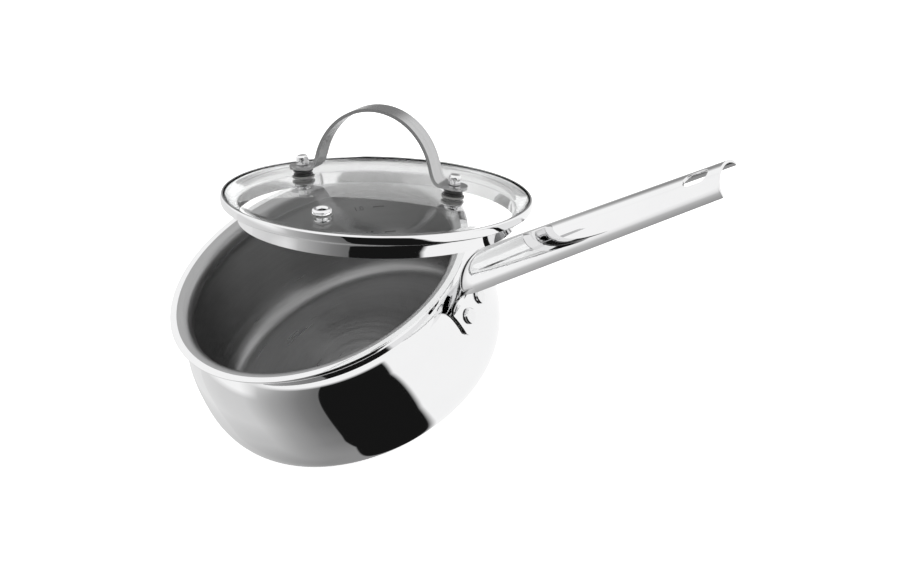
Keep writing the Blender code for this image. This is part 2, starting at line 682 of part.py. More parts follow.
def lid_place():
    """The lid's own frame: tilted, and as low as clears the rim and the handle's crest."""
    turn = Matrix.Rotation(LID_TILT_AZIMUTH, 4, "Z") @ Matrix.Rotation(LID_TILT, 4, "Y")
    lift = 0.0
    for angle in np.radians(np.arange(0.0, 360.0, 0.5)):
        for radius, depth in ((BAND_RADIUS, LEDGE_DEPTH), (SKIRT_RADIUS, SKIRT_DEPTH)):
            edge = turn @ Vector((radius * math.cos(angle), radius * math.sin(angle), -depth))
            beyond_rim = LID_SHIFT_X + edge.x - RIM_RADIUS
            aside = abs(LID_SHIFT_Y + edge.y) / ROOT_HALF_WIDTH
            below = 0.0
            if beyond_rim > 0.0 and aside < 1.0:
                crest = CREST_LIFT + beyond_rim * math.tan(HANDLE_RISE)
                below = crest - ROOT_ARCH * (1 - math.sqrt(1 - aside**2))
            lift = max(lift, below - edge.z)
    lift += PAN_HEIGHT + LID_CLEARANCE
    return Matrix.Translation((LID_SHIFT_X, LID_SHIFT_Y, lift)) @ turn @ Matrix.Rotation(LID_SPIN, 4, "Z")


def make_lid(parts, cutters, finishes):
    """The glass lid with its band, strap handle and steam vent, all hung on one empty."""
    lid = add_empty(parts, "lid_frame", lid_place())
    glass = make_glass(parts, finishes["glass"], lid)
    make_band(parts, finishes["mirror"], lid)
    feet = [foot_frame(parts, "foot_inner", -1, lid), foot_frame(parts, "foot_outer", 1, lid)]
    make_strap(parts, cutters, finishes["satin"], lid, feet)
    for foot, tag in zip(feet, ("inner", "outer")):
        make_foot_hardware(parts, cutters, finishes, foot, tag, glass)
    make_vent(parts, cutters, finishes, lid, glass)


def main():
    """Clears the scene and makes the saucepan and its lid."""
    for old in list(bpy.data.objects):
        bpy.data.objects.remove(old, do_unlink=True)
    parts = add_collection("saucepan_with_glass_lid")
    cutters = add_collection("cutters")
    finishes = {
        "mirror": material("polished_steel", (0.78, 0.78, 0.78), 1.0, 0.06),
        "satin": material("satin_steel", (0.62, 0.62, 0.62), 1.0, 0.28),
        "aluminium": material("aluminium", (0.70, 0.70, 0.71), 1.0, 0.40),
        "glass": material("glass", (0.95, 0.96, 0.96), 0.0, 0.02, 1.0),
        "rubber": material("silicone", (0.72, 0.72, 0.70), 0.0, 0.45),
        "spacer": material("dark_spacer", (0.03, 0.03, 0.03), 0.0, 0.35),
    }
    make_pan(parts, cutters, finishes)
    make_lid(parts, cutters, finishes)


main()
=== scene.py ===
"""Stainless steel saucepan with a glass lid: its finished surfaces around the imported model.

The pan, its riveted channel handle and the lid's glass, band, strap and fittings are built as
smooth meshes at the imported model's own sizes, dressed in procedural finishes, and stood on a
pale floor in soft studio light. Lengths are in metres and angles in degrees unless a name says
otherwise.
"""

import logging
import math
from dataclasses import dataclass, field
from enum import Enum
from typing import Iterable, Sequence

import bmesh
import bpy
import numpy as np
from mathutils import Matrix, Vector


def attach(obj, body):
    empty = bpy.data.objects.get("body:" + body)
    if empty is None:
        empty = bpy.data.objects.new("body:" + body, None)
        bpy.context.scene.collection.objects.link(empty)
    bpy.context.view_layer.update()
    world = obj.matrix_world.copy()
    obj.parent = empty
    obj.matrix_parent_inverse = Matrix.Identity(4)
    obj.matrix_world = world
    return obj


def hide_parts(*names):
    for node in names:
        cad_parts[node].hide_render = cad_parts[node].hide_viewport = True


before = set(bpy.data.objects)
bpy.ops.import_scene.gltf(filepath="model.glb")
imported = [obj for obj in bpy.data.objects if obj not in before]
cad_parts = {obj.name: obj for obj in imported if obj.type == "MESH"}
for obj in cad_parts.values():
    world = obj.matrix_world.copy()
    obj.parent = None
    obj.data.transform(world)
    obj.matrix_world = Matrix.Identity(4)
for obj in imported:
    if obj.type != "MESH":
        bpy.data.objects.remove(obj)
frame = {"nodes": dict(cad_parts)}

log = logging.getLogger("saucepan")
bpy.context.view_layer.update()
TOUCH = 0.0003  # left between pieces that touch
HOLE_GAP = 0.0004  # all round a shank in its hole

Points = np.ndarray
Socket = bpy.types.NodeSocket


class Body(Enum):
    """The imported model's moving bodies."""

    PAN = "pan"
    LID = "lid"


class Grain(Enum):
    """Which way the fine lines of a worked steel surface run."""

    SPUN = "spun"  # in rings about the piece's own Z
    DRAWN = "drawn"  # in lines along the X of the piece's own frame


# Lines and meshes

SAME_POINT = 1e-6  # points of an outline closer than this are one
ON_AXIS = 1e-7  # a turned outline's point nearer the axis than this is on it
STRAIGHT_COSINE = -0.94  # a corner flatter than this is left as it is
SIDE_SHARE = 0.45  # of a side, the most that the rounding of one corner takes
BEVEL_ANGLE = 50.0  # edges sharper than this are eased
BEVEL_SEGMENTS = 3


def bezier(
    start: Sequence, start_hand: Sequence, end_hand: Sequence, end: Sequence, count: int
) -> Points:
    """Points along a cubic curve.

    Args:
        start, start_hand, end_hand, end: The curve's four control points.
        count: How many points, both ends included.

    Returns:
        The points, one to a row.
    """
    t = np.linspace(0.0, 1.0, count)[:, None]
    a, b, c, d = (np.array(p, float) for p in (start, start_hand, end_hand, end))
    return (1 - t) ** 3 * a + 3 * (1 - t) ** 2 * t * b + 3 * (1 - t) * t**2 * c + t**3 * d


def arc(centre: Sequence[float], radius: float, start: float, end: float, count: int) -> Points:
    """Points on an arc in a plane.

    Args:
        centre: The arc's centre.
        radius: Its radius.
        start, end: The angles it runs between.
        count: How many points, both ends included.

    Returns:
        The points, one to a row.
    """
    angles = np.radians(np.linspace(start, end, count))
    return np.array(centre) + radius * np.stack([np.cos(angles), np.sin(angles)], axis=1)


def joined(*runs: Sequence) -> Points:
    """One outline from several.

    Args:
        runs: Single points or rows of points, in order.

    Returns:
        Their points, without any that repeats the one before.
    """
    points: list[Points] = []
    for run in runs:
        for point in np.atleast_2d(run):
            if not points or np.hypot(*(point - points[-1])) > SAME_POINT:
                points.append(point)
    return np.array(points)


def distances(points: Points) -> Points:
    """How far along an open outline each of its points is."""
    return np.concatenate([[0.0], np.cumsum(np.linalg.norm(np.diff(points, axis=0), axis=1))])


def side_normals(points: Points) -> Points:
    """Unit normals on the left of an open outline.

    Args:
        points: The outline.

    Returns:
        A normal for each point, averaged at corners.
    """
    along = np.diff(points, axis=0)
    along /= np.linalg.norm(along, axis=1)[:, None]
    mean = np.vstack([along[:1], along[:-1] + along[1:], along[-1:]])
    mean /= np.linalg.norm(mean, axis=1)[:, None]
    return np.stack([-mean[:, 1], mean[:, 0]], axis=1)


def eased(outline: Sequence, radius: float, closed: bool = False, steps: int = 4) -> Points:
    """An outline with its sharp corners rounded off.

    Args:
        outline: The points.
        radius: How far back from a corner its rounding starts, if the sides are long enough.
        closed: Whether the last point joins the first.
        steps: How many pieces each rounding has.

    Returns:
        The new outline.
    """
    points = np.array(outline, float)
    count = len(points)
    made: list[Points] = []
    for i, point in enumerate(points):
        if not closed and i in (0, count - 1):
            made.append(point)
            continue
        back, ahead = points[i - 1] - point, points[(i + 1) % count] - point
        back_length, ahead_length = np.linalg.norm(back), np.linalg.norm(ahead)
        if np.dot(back, ahead) / (back_length * ahead_length) < STRAIGHT_COSINE:
            made.append(point)
            continue
        reach = min(radius, back_length * SIDE_SHARE, ahead_length * SIDE_SHARE)
        first = point + back / back_length * reach
        last = point + ahead / ahead_length * reach
        for t in np.linspace(0.0, 1.0, steps + 1):
            made.append((1 - t) ** 2 * first + 2 * (1 - t) * t * point + t * t * last)
    return np.array(made)


def make_object(
    name: str, mesh: bpy.types.Mesh, finishes: Iterable, place: Matrix | None = None
) -> bpy.types.Object:
    """A mesh object in the scene, with its points in the row frame.

    Args:
        name: The piece's name.
        mesh: Its mesh.
        finishes: Its materials, in slot order.
        place: Where the mesh's own frame lies, the row frame if left out.

    Returns:
        The object.
    """
    made = bpy.data.objects.new(name, mesh)
    for finish in finishes:
        mesh.materials.append(finish)
    bpy.context.scene.collection.objects.link(made)
    if place is not None:
        mesh.transform(place)
    return made


def turned_mesh(
    name: str,
    outline: Points,
    steps: int,
    closed: bool = False,
    zones: Sequence[int] = (),
    crease: float = 38.0,
) -> bpy.types.Mesh:
    """A smooth surface turned about Z.

    Args:
        name: The mesh's name.
        outline: (radius, height) points that run down the outer side.
        steps: How many steps round.
        closed: Whether the outline closes on itself, as for a ring.
        zones: The material slot of each span of the outline, all in the first if left out.
        crease: The angle above which an edge stays sharp.

    Returns:
        The mesh.
    """
    turn = np.linspace(0.0, 2 * math.pi, steps, endpoint=False)
    vertices: list[tuple] = []
    rings: list[list[int]] = []
    for radius, height in outline:
        first = len(vertices)
        if radius < ON_AXIS:
            vertices.append((0.0, 0.0, height))
            rings.append([first] * steps)
        else:
            vertices.extend((radius * math.cos(a), radius * math.sin(a), height) for a in turn)
            rings.append(list(range(first, first + steps)))
    spans = len(outline) if closed else len(outline) - 1
    faces: list[tuple] = []
    slots: list[int] = []
    for span in range(spans):
        upper, lower = rings[span], rings[(span + 1) % len(outline)]
        for k in range(steps):
            n = (k + 1) % steps
            faces.append(tuple(dict.fromkeys((upper[k], lower[k], lower[n], upper[n]))))
            slots.append(zones[span] if len(zones) else 0)
    mesh = bpy.data.meshes.new(name)
    mesh.from_pydata(vertices, [], faces)
    mesh.polygons.foreach_set("material_index", slots)
    mesh.shade_smooth()
    mesh.set_sharp_from_angle(angle=math.radians(crease))
    return mesh


def grid_faces(rows: int, columns: int) -> list[tuple[int, int, int, int]]:
    """The faces of a grid whose vertices are numbered row by row."""
    return [
        (first, first + 1, first + columns + 1, first + columns)
        for first in (row * columns + column for row in range(rows - 1) for column in range(columns - 1))
    ]


def sheet_mesh(name: str, vertices: Sequence, faces: Sequence) -> bpy.types.Mesh:
    """An open smooth surface, to be thickened.

    Args:
        name: The mesh's name.
        vertices: Its points.
        faces: Its faces, as vertex numbers.

    Returns:
        The mesh.
    """
    mesh = bpy.data.meshes.new(name)
    mesh.from_pydata([tuple(v) for v in vertices], [], faces)
    mesh.shade_smooth()
    return mesh


def thicken(piece: bpy.types.Object, sheet: float, easing: float) -> None:
    """Gives a surface its sheet thickness, with eased edges.

    Args:
        piece: The surface.
        sheet: The thickness, half to each side.
        easing: The width of the bevel along each edge.
    """
    shell = piece.modifiers.new("sheet", "SOLIDIFY")
    shell.thickness = sheet
    shell.offset = 0.0
    shell.use_even_offset = True
    edge = piece.modifiers.new("eased_edge", "BEVEL")
    edge.width = easing
    edge.segments = BEVEL_SEGMENTS
    edge.limit_method = "ANGLE"
    edge.angle_limit = math.radians(BEVEL_ANGLE)
    level = piece.modifiers.new("even_shading", "WEIGHTED_NORMAL")
    level.keep_sharp = True


def frame_on(origin: Sequence, outward: Sequence, side: Sequence) -> Matrix:
    """A frame that stands on a surface.

    Args:
        origin: Where it stands.
        outward: The direction of its Z.
        side: The direction that its Y is nearest to.

    Returns:
        Its matrix.
    """
    z = Vector(outward).normalized()
    x = Vector(side).cross(z).normalized()
    return Matrix.Translation(origin) @ Matrix((x, z.cross(x), z)).transposed().to_4x4()


# Finishes


class Wiring:
    """Adds nodes to one node tree and joins them."""

    def __init__(self, tree: bpy.types.NodeTree) -> None:
        """Works on the given tree."""
        self.tree = tree

    def add(self, kind: str, **settings: object) -> bpy.types.Node:
        """A new node.

        Args:
            kind: Its type, without the leading ShaderNode.
            settings: Values of its properties.

        Returns:
            The node.
        """
        node = self.tree.nodes.new(f"ShaderNode{kind}")
        for name, value in settings.items():
            setattr(node, name, value)
        return node

    def feed(self, socket: Socket, value: Socket | float | Sequence) -> None:
        """Joins an output to a socket, or sets the socket's own value."""
        if isinstance(value, bpy.types.NodeSocket):
            self.tree.links.new(value, socket)
        else:
            socket.default_value = value

    def math(self, operation: str, *values: Socket | float) -> Socket:
        """The output of a Math node on one to three values."""
        node = self.add("Math", operation=operation)
        for socket, value in zip(node.inputs, values):
            self.feed(socket, value)
        return node.outputs[0]

    def noise(
        self, vector: Socket, scale: Socket | float, detail: float, roughness: float = 0.5
    ) -> Socket:
        """Fractal noise from 0 to 1.

        Args:
            vector: Where it is read.
            scale: How fine it is.
            detail: How many finer layers it has.
            roughness: How strong those layers are.

        Returns:
            The noise's value.
        """
        node = self.add("TexNoise", noise_dimensions="3D")
        self.feed(node.inputs["Vector"], vector)
        self.feed(node.inputs["Scale"], scale)
        node.inputs["Detail"].default_value = detail
        node.inputs["Roughness"].default_value = roughness
        return node.outputs["Fac"]

    def spread(
        self,
        value: Socket,
        low: Socket | float,
        high: Socket | float,
        start: float = 0.3,
        end: float = 0.7,
    ) -> Socket:
        """A value from start..end spread over low..high, clamped.

        Args:
            value: What is spread.
            low, high: The range it is spread over.
            start, end: The range it is read from.

        Returns:
            The result.
        """
        node = self.add("MapRange")
        names = ("Value", "From Min", "From Max", "To Min", "To Max")
        for name, what in zip(names, (value, start, end, low, high)):
            self.feed(node.inputs[name], what)
        return node.outputs["Result"]

    def blend(self, first: Socket | float, second: Socket | float, share: Socket | float) -> Socket:
        """The first value, taken towards the second by a share from 0 to 1."""
        node = self.add("Mix", data_type="FLOAT")
        self.feed(node.inputs[0], share)
        self.feed(node.inputs[2], first)
        self.feed(node.inputs[3], second)
        return node.outputs[0]

    def weighted(self, values: Sequence[Socket], weights: Sequence[float]) -> Socket:
        """The sum of some values, each times its own weight."""
        total = self.math("MULTIPLY", values[0], weights[0])
        for value, weight in zip(values[1:], weights[1:]):
            total = self.math("ADD", total, self.math("MULTIPLY", value, weight))
        return total

    def combine(self, x: Socket | float, y: Socket | float, z: Socket | float) -> Socket:
        """A vector from three values."""
        node = self.add("CombineXYZ")
        for socket, value in zip(node.inputs, (x, y, z)):
            self.feed(socket, value)
        return node.outputs[0]

    def split(self, vector: Socket) -> tuple[Socket, Socket, Socket]:
        """A vector's X, Y and Z."""
        node = self.add("SeparateXYZ")
        self.feed(node.inputs[0], vector)
        return tuple(node.outputs)


def new_group(
    name: str, inputs: dict[str, float | None], outputs: dict[str, str]
) -> tuple[bpy.types.NodeTree, Wiring, dict]:
    """An empty shader group with its sockets.

    Args:
        name: The group's name.
        inputs: Each input's starting value, or None for a vector.
        outputs: Each output's socket type.

    Returns:
        The group, its wiring, and its input sockets by name with the output node under "".
    """
    tree = bpy.data.node_groups.new(name, "ShaderNodeTree")
    for key, value in inputs.items():
        kind = "NodeSocketVector" if value is None else "NodeSocketFloat"
        socket = tree.interface.new_socket(key, in_out="INPUT", socket_type=kind)
        if value is not None:
            socket.default_value = value
    for key, kind in outputs.items():
        tree.interface.new_socket(key, in_out="OUTPUT", socket_type=kind)
    wires = Wiring(tree)
    given = tree.nodes.new("NodeGroupInput")
    ends = {key: given.outputs[key] for key in inputs}
    ends[""] = tree.nodes.new("NodeGroupOutput")
    return tree, wires, ends


@dataclass
class Effects:
    """The shader groups that several finishes share."""

    axis_guard: float = 0.0001  # keeps a division by the radius finite on the axis
    broad_scale: float = 0.13  # of the fine lines' scale, for the broad ones
    broad_share: float = 0.45  # of the grain, the rest of it being fine lines
    cloud_scale: float = 38.0
    hairline_scale: float = 1900.0
    hairline_stretch: tuple[float, float] = (0.12, 0.6)  # of X and of Z
    rings: bpy.types.NodeTree = field(init=False)
    grain: bpy.types.NodeTree = field(init=False)
    handling: bpy.types.NodeTree = field(init=False)

    def __post_init__(self) -> None:
        """Builds each group once."""
        self.rings = self._rings()
        self.grain = self._grain()
        self.handling = self._handling()

    def _rings(self) -> bpy.types.NodeTree:
        """Turns a point into (radius, a little of the angle, height), for a pattern in rings."""
        tree, wires, ends = new_group(
            "ring_coordinates", {"Point": None, "Wander": 0.004}, {"Point": "NodeSocketVector"}
        )
        x, y, z = wires.split(ends["Point"])
        squares = wires.math("ADD", wires.math("MULTIPLY", x, x), wires.math("MULTIPLY", y, y))
        radius = wires.math("SQRT", squares)
        divisor = wires.math("ADD", radius, self.axis_guard)
        around_x, around_y = (
            wires.math("MULTIPLY", wires.math("DIVIDE", part, divisor), ends["Wander"]) for part in (x, y)
        )
        ringed = wires.combine(wires.math("ADD", radius, around_x), around_y, z)
        wires.feed(ends[""].inputs["Point"], ringed)
        return tree

    def _grain(self) -> bpy.types.NodeTree:
        """Fine lines of a worked surface: their shade, how rough they are and how deep."""
        tree, wires, ends = new_group(
            "worked_grain",
            {
                "Point": None,
                "Fineness": 2600.0,
                "Shade Spread": 0.1,
                "Roughness": 0.3,
                "Roughness Spread": 0.08,
            },
            {"Shade": "NodeSocketFloat", "Roughness": "NodeSocketFloat", "Height": "NodeSocketFloat"},
        )
        fine = wires.noise(ends["Point"], ends["Fineness"], 2.0, 0.6)
        broad_scale = wires.math("MULTIPLY", ends["Fineness"], self.broad_scale)
        broad = wires.noise(ends["Point"], broad_scale, 3.0, 0.55)
        both = wires.weighted((fine, broad), (1.0 - self.broad_share, self.broad_share))
        darkest = wires.math("SUBTRACT", 1.0, ends["Shade Spread"])
        wires.feed(ends[""].inputs["Shade"], wires.spread(both, darkest, 1.0))
        rougher = wires.math("ADD", ends["Roughness"], ends["Roughness Spread"])
        smoother = wires.math("SUBTRACT", ends["Roughness"], ends["Roughness Spread"])
        wires.feed(ends[""].inputs["Roughness"], wires.spread(broad, rougher, smoother))
        wires.feed(ends[""].inputs["Height"], both)
        return tree

    def _handling(self) -> bpy.types.NodeTree:
        """Faint cloudy smears and hairlines left by wiping and use."""
        tree, wires, ends = new_group(
            "handling_marks",
            {"Point": None, "Roughness": 0.06, "Smear": 0.03, "Shade Spread": 0.02},
            {"Shade": "NodeSocketFloat", "Roughness": "NodeSocketFloat", "Height": "NodeSocketFloat"},
        )
        cloud = wires.noise(ends["Point"], self.cloud_scale, 3.0)
        x, y, z = wires.split(ends["Point"])
        along, upward = self.hairline_stretch
        drawn_out = wires.combine(wires.math("MULTIPLY", x, along), y, wires.math("MULTIPLY", z, upward))
        hairline = wires.noise(drawn_out, self.hairline_scale, 1.0, 0.4)
        smear = wires.spread(cloud, 0.0, ends["Smear"], 0.45, 0.75)
        wires.feed(ends[""].inputs["Roughness"], wires.math("ADD", ends["Roughness"], smear))
        clean = wires.math("SUBTRACT", 1.0, ends["Shade Spread"])
        wires.feed(ends[""].inputs["Shade"], wires.spread(cloud, 1.0, clean, 0.4, 0.8))
        wires.feed(ends[""].inputs["Height"], hairline)
        return tree


@dataclass(frozen=True)
class Finish:
    """What every finish has: a name, a grey or tinted colour and a roughness."""

    name: str
    colour: tuple[float, float, float]
    roughness: float

    def start(self) -> tuple[bpy.types.Material, Wiring, bpy.types.Node, Socket]:
        """A new material.

        Returns:
            The material, its wiring, its shader and the piece's own coordinates.
        """
        made = bpy.data.materials.new(self.name)
        made.use_nodes = True
        made.diffuse_color = (*self.colour, 1.0)
        wires = Wiring(made.node_tree)
        shader = made.node_tree.nodes["Principled BSDF"]
        shader.inputs["Base Color"].default_value = (*self.colour, 1.0)
        shader.inputs["Roughness"].default_value = self.roughness
        return made, wires, shader, wires.add("TexCoord").outputs["Object"]

    def shade(self, wires: Wiring, shader: bpy.types.Node, factor: Socket) -> None:
        """Multiplies the finish's colour by a factor that changes over the surface.

        Args:
            wires: The material's wiring.
            shader: Its shader.
            factor: The factor.
        """
        scaled = wires.add("VectorMath", operation="SCALE")
        wires.feed(scaled.inputs[0], self.colour)
        wires.feed(scaled.inputs["Scale"], factor)
        wires.feed(shader.inputs["Base Color"], scaled.outputs[0])

    def relief(self, wires: Wiring, shader: bpy.types.Node, height: Socket, depth: float) -> None:
        """Raises the surface by a height.

        Args:
            wires: The material's wiring.
            shader: Its shader.
            height: The height, from 0 to 1.
            depth: What 1 stands for.
        """
        bump = wires.add("Bump")
        bump.inputs["Distance"].default_value = depth
        wires.feed(bump.inputs["Height"], height)
        wires.feed(shader.inputs["Normal"], bump.outputs["Normal"])

    def grouped(self, wires: Wiring, tree: bpy.types.NodeTree, **values: Socket | float) -> bpy.types.Node:
        """A shared effect in this material.

        Args:
            wires: The material's wiring.
            tree: The effect's group.
            values: Its inputs, with _ for a space in a name.

        Returns:
            The group's node.
        """
        node = wires.add("Group", node_tree=tree)
        for key, value in values.items():
            wires.feed(node.inputs[key.replace("_", " ")], value)
        return node


@dataclass(frozen=True)
class PolishedSteel(Finish):
    """Stainless steel buffed to a mirror."""

    smear: float = 0.02
    shade_spread: float = 0.02
    hairline: float = 0.0000002

    def build(self, effects: Effects) -> bpy.types.Material:
        """Makes the material.

        Args:
            effects: The shared shader groups.

        Returns:
            The material.
        """
        made, wires, shader, point = self.start()
        marks = self.grouped(
            wires,
            effects.handling,
            Point=point,
            Roughness=self.roughness,
            Smear=self.smear,
            Shade_Spread=self.shade_spread,
        )
        shader.inputs["Metallic"].default_value = 1.0
        self.shade(wires, shader, marks.outputs["Shade"])
        wires.feed(shader.inputs["Roughness"], marks.outputs["Roughness"])
        self.relief(wires, shader, marks.outputs["Height"], self.hairline)
        return made


@dataclass(frozen=True)
class WorkedSteel(Finish):
    """Metal left with the fine lines of spinning or brushing."""

    grain: Grain = Grain.SPUN
    fineness: float = 2600.0
    shade_spread: float = 0.12
    roughness_spread: float = 0.06
    depth: float = 0.000002
    anisotropic: float = 0.6
    across: float = 0.25  # of a turn, from the grain to the way the highlight is drawn out
    line_length: float = 0.02  # of the grain's scale along drawn lines, so that they are long
    turn: tuple[float, float, float] = (0.0, 0.0, 0.0)  # from the row frame into the piece's own

    def build(self, effects: Effects) -> bpy.types.Material:
        """Makes the material.

        Args:
            effects: The shared shader groups.

        Returns:
            The material.
        """
        made, wires, shader, point = self.start()
        if self.grain is Grain.SPUN:
            point = self.grouped(wires, effects.rings, Point=point).outputs["Point"]
        else:
            own = wires.add("Mapping")
            own.inputs["Rotation"].default_value = self.turn
            wires.feed(own.inputs["Vector"], point)
            x, y, z = wires.split(own.outputs["Vector"])
            long_x, long_z = (wires.math("MULTIPLY", part, self.line_length) for part in (x, z))
            point = wires.combine(long_x, y, long_z)
        lines = self.grouped(
            wires,
            effects.grain,
            Point=point,
            Fineness=self.fineness,
            Shade_Spread=self.shade_spread,
            Roughness=self.roughness,
            Roughness_Spread=self.roughness_spread,
        )
        shader.inputs["Metallic"].default_value = 1.0
        shader.inputs["Anisotropic"].default_value = self.anisotropic
        shader.inputs["Anisotropic Rotation"].default_value = self.across
        self.shade(wires, shader, lines.outputs["Shade"])
        wires.feed(shader.inputs["Roughness"], lines.outputs["Roughness"])
        self.relief(wires, shader, lines.outputs["Height"], self.depth)
        return made


@dataclass(frozen=True)
class ClearGlass(Finish):
    """Toughened glass, wiped clean."""

    ior: float = 1.5
    smear: float = 0.02
    shade_spread: float = 0.01

    def build(self, effects: Effects) -> bpy.types.Material:
        """Makes the material.

        Args:
            effects: The shared shader groups.

        Returns:
            The material.
        """
        made, wires, shader, point = self.start()
        marks = self.grouped(
            wires,
            effects.handling,
            Point=point,
            Roughness=self.roughness,
            Smear=self.smear,
            Shade_Spread=self.shade_spread,
        )
        shader.inputs["Transmission Weight"].default_value = 1.0
        shader.inputs["IOR"].default_value = self.ior
        self.shade(wires, shader, marks.outputs["Shade"])
        wires.feed(shader.inputs["Roughness"], marks.outputs["Roughness"])
        return made


@dataclass(frozen=True)
class Moulded(Finish):
    """A moulded rubber or plastic with a fine dull texture."""

    pebble: float = 5200.0
    depth: float = 0.00001
    smear: float = 0.1
    shade_spread: float = 0.12

    def build(self, effects: Effects) -> bpy.types.Material:
        """Makes the material.

        Args:
            effects: The shared shader groups.

        Returns:
            The material.
        """
        made, wires, shader, point = self.start()
        marks = self.grouped(
            wires,
            effects.handling,
            Point=point,
            Roughness=self.roughness,
            Smear=self.smear,
            Shade_Spread=self.shade_spread,
        )
        self.shade(wires, shader, marks.outputs["Shade"])
        wires.feed(shader.inputs["Roughness"], marks.outputs["Roughness"])
        self.relief(wires, shader, wires.noise(point, self.pebble, 2.0), self.depth)
        return made


@dataclass
class Finishes:
    """Every finish on the pan and its lid, as materials."""

    lid_turn: tuple[float, float, float]
    effects: Effects = field(default_factory=Effects)

    def __post_init__(self) -> None:
        """Builds each material once."""
        grey = lambda value: (value, value, value * 1.005)
        self.mirror = PolishedSteel("mirror_steel", grey(0.86), 0.035).build(self.effects)
        self.bright = PolishedSteel("bright_steel", grey(0.84), 0.09, smear=0.04).build(self.effects)
        # The bowl's spun satin grain is real; its grey, darker than the other steels, is painted shade for
        # the inside of the pan.
        self.bowl = WorkedSteel("spun_bowl_steel_painted_shade", grey(0.41), 0.33, anisotropic=0.70).build(self.effects)
        self.cap = WorkedSteel("spun_base_steel", grey(0.62), 0.24, fineness=1500.0).build(self.effects)
        self.strap = WorkedSteel(
            "brushed_strap_steel",
            grey(0.54),
            0.24,
            grain=Grain.DRAWN,
            fineness=3200.0,
            anisotropic=0.0,
            turn=self.lid_turn,
        ).build(self.effects)
        aluminium = WorkedSteel("turned_aluminium", (0.70, 0.70, 0.71), 0.40, fineness=900.0)
        self.core = aluminium.build(self.effects)
        self.etched = Moulded("etched_mark", grey(0.035), 0.5).build(self.effects)
        self.glass = ClearGlass("clear_glass", (0.985, 0.99, 0.988), 0.0).build(self.effects)
        self.rubber = Moulded("clear_silicone", (0.24, 0.24, 0.235), 0.42).build(self.effects)
        self.spacer = Moulded("dark_spacer", grey(0.02), 0.3).build(self.effects)


@dataclass
class Piece:
    """One shown piece and what it belongs to."""

    made: bpy.types.Object
    body: Body
    slot: str
    stands_for: tuple[str, ...] = ()

    def settle(self) -> None:
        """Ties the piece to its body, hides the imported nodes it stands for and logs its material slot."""
        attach(self.made, self.body.value)
        if self.stands_for:
            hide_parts(*self.stands_for)
        told = (self.made.name, self.body.value, self.slot, self.stands_for)
        log.info("%s rides on %s, slot %s, for %s", *told)


# The pan


@dataclass
class PanWall:
    """The pan's pressed sheet: its outer radii and the heights they are at."""

    height: float = 0.0800
    sheet: float = 0.0008
    neck_radius: float = 0.0782
    neck_drop: float = 0.0090
    rim_radius: float = 0.0880
    belly_radius: float = 0.0895
    belly_height: float = 0.0320
    shoulder_swell: float = 0.0010
    floor_radius: float = 0.0763
    floor_height: float = 0.0044  # to the underside of the floor
    lip_rounding: float = 0.4  # of the sheet, rounding off the rim's cut edge
    flare_rise: float = 0.80  # of the neck's drop, how far up the flare's lower hand reaches
    flare_run: float = 0.28  # of the flare, how far out its upper hand starts
    floor_steps: int = 12
    curve_steps: int = 34
    flare_steps: int = 22

    @property
    def neck_height(self) -> float:
        """The height of the neck."""
        return self.height - self.neck_drop

    def middle(self) -> Points:
        """The middle of the sheet, as (radius, height), from the floor's centre to the rim."""
        half = self.sheet / 2
        floor, belly, neck = self.floor_height + half, self.belly_radius - half, self.neck_radius - half
        turn = np.radians(np.linspace(-90.0, 0.0, self.curve_steps))
        corner = np.stack(
            [
                self.floor_radius + (belly - self.floor_radius) * np.cos(turn),
                self.belly_height + (self.belly_height - floor) * np.sin(turn),
            ],
            axis=1,
        )
        shoulder_height = self.neck_height - self.neck_drop / 3
        shoulder = bezier(
            (belly, self.belly_height),
            (belly + self.shoulder_swell, shoulder_height),
            (neck, shoulder_height),
            (neck, self.neck_height),
            self.curve_steps,
        )
        flare = bezier(
            (neck, self.neck_height),
            (neck, self.neck_height + self.neck_drop * self.flare_rise),
            (neck + (self.rim_radius - self.neck_radius) * self.flare_run, self.height - half),
            (self.rim_radius - self.sheet * self.lip_rounding, self.height - half),
            self.flare_steps,
        )
        floor_run = [(r, floor) for r in np.linspace(0.0, self.floor_radius, self.floor_steps)[:-1]]
        return joined(floor_run, corner, shoulder, flare)

    def outside(self, height: float) -> tuple[Points, Points]:
        """A point of the outer surface above the belly.

        Args:
            height: Its height.

        Returns:
            The point and the surface's normal, both as (radius, height).
        """
        line = self.middle()
        normals = -side_normals(line)
        upper = line[:, 1] > self.belly_height
        point = np.array([np.interp(height, line[upper, 1], line[upper, 0]), height])
        normal = np.array([np.interp(height, line[upper, 1], normals[upper, i]) for i in (0, 1)])
        normal /= np.hypot(*normal)
        return point + normal * self.sheet / 2, normal

    def inside_radius(self, height: float) -> float:
        """The inner surface's radius at a height above the belly's foot."""
        line = self.middle()
        wall = line[:, 0] > self.floor_radius
        return float(np.interp(height, line[wall, 1], line[wall, 0])) - self.sheet / 2


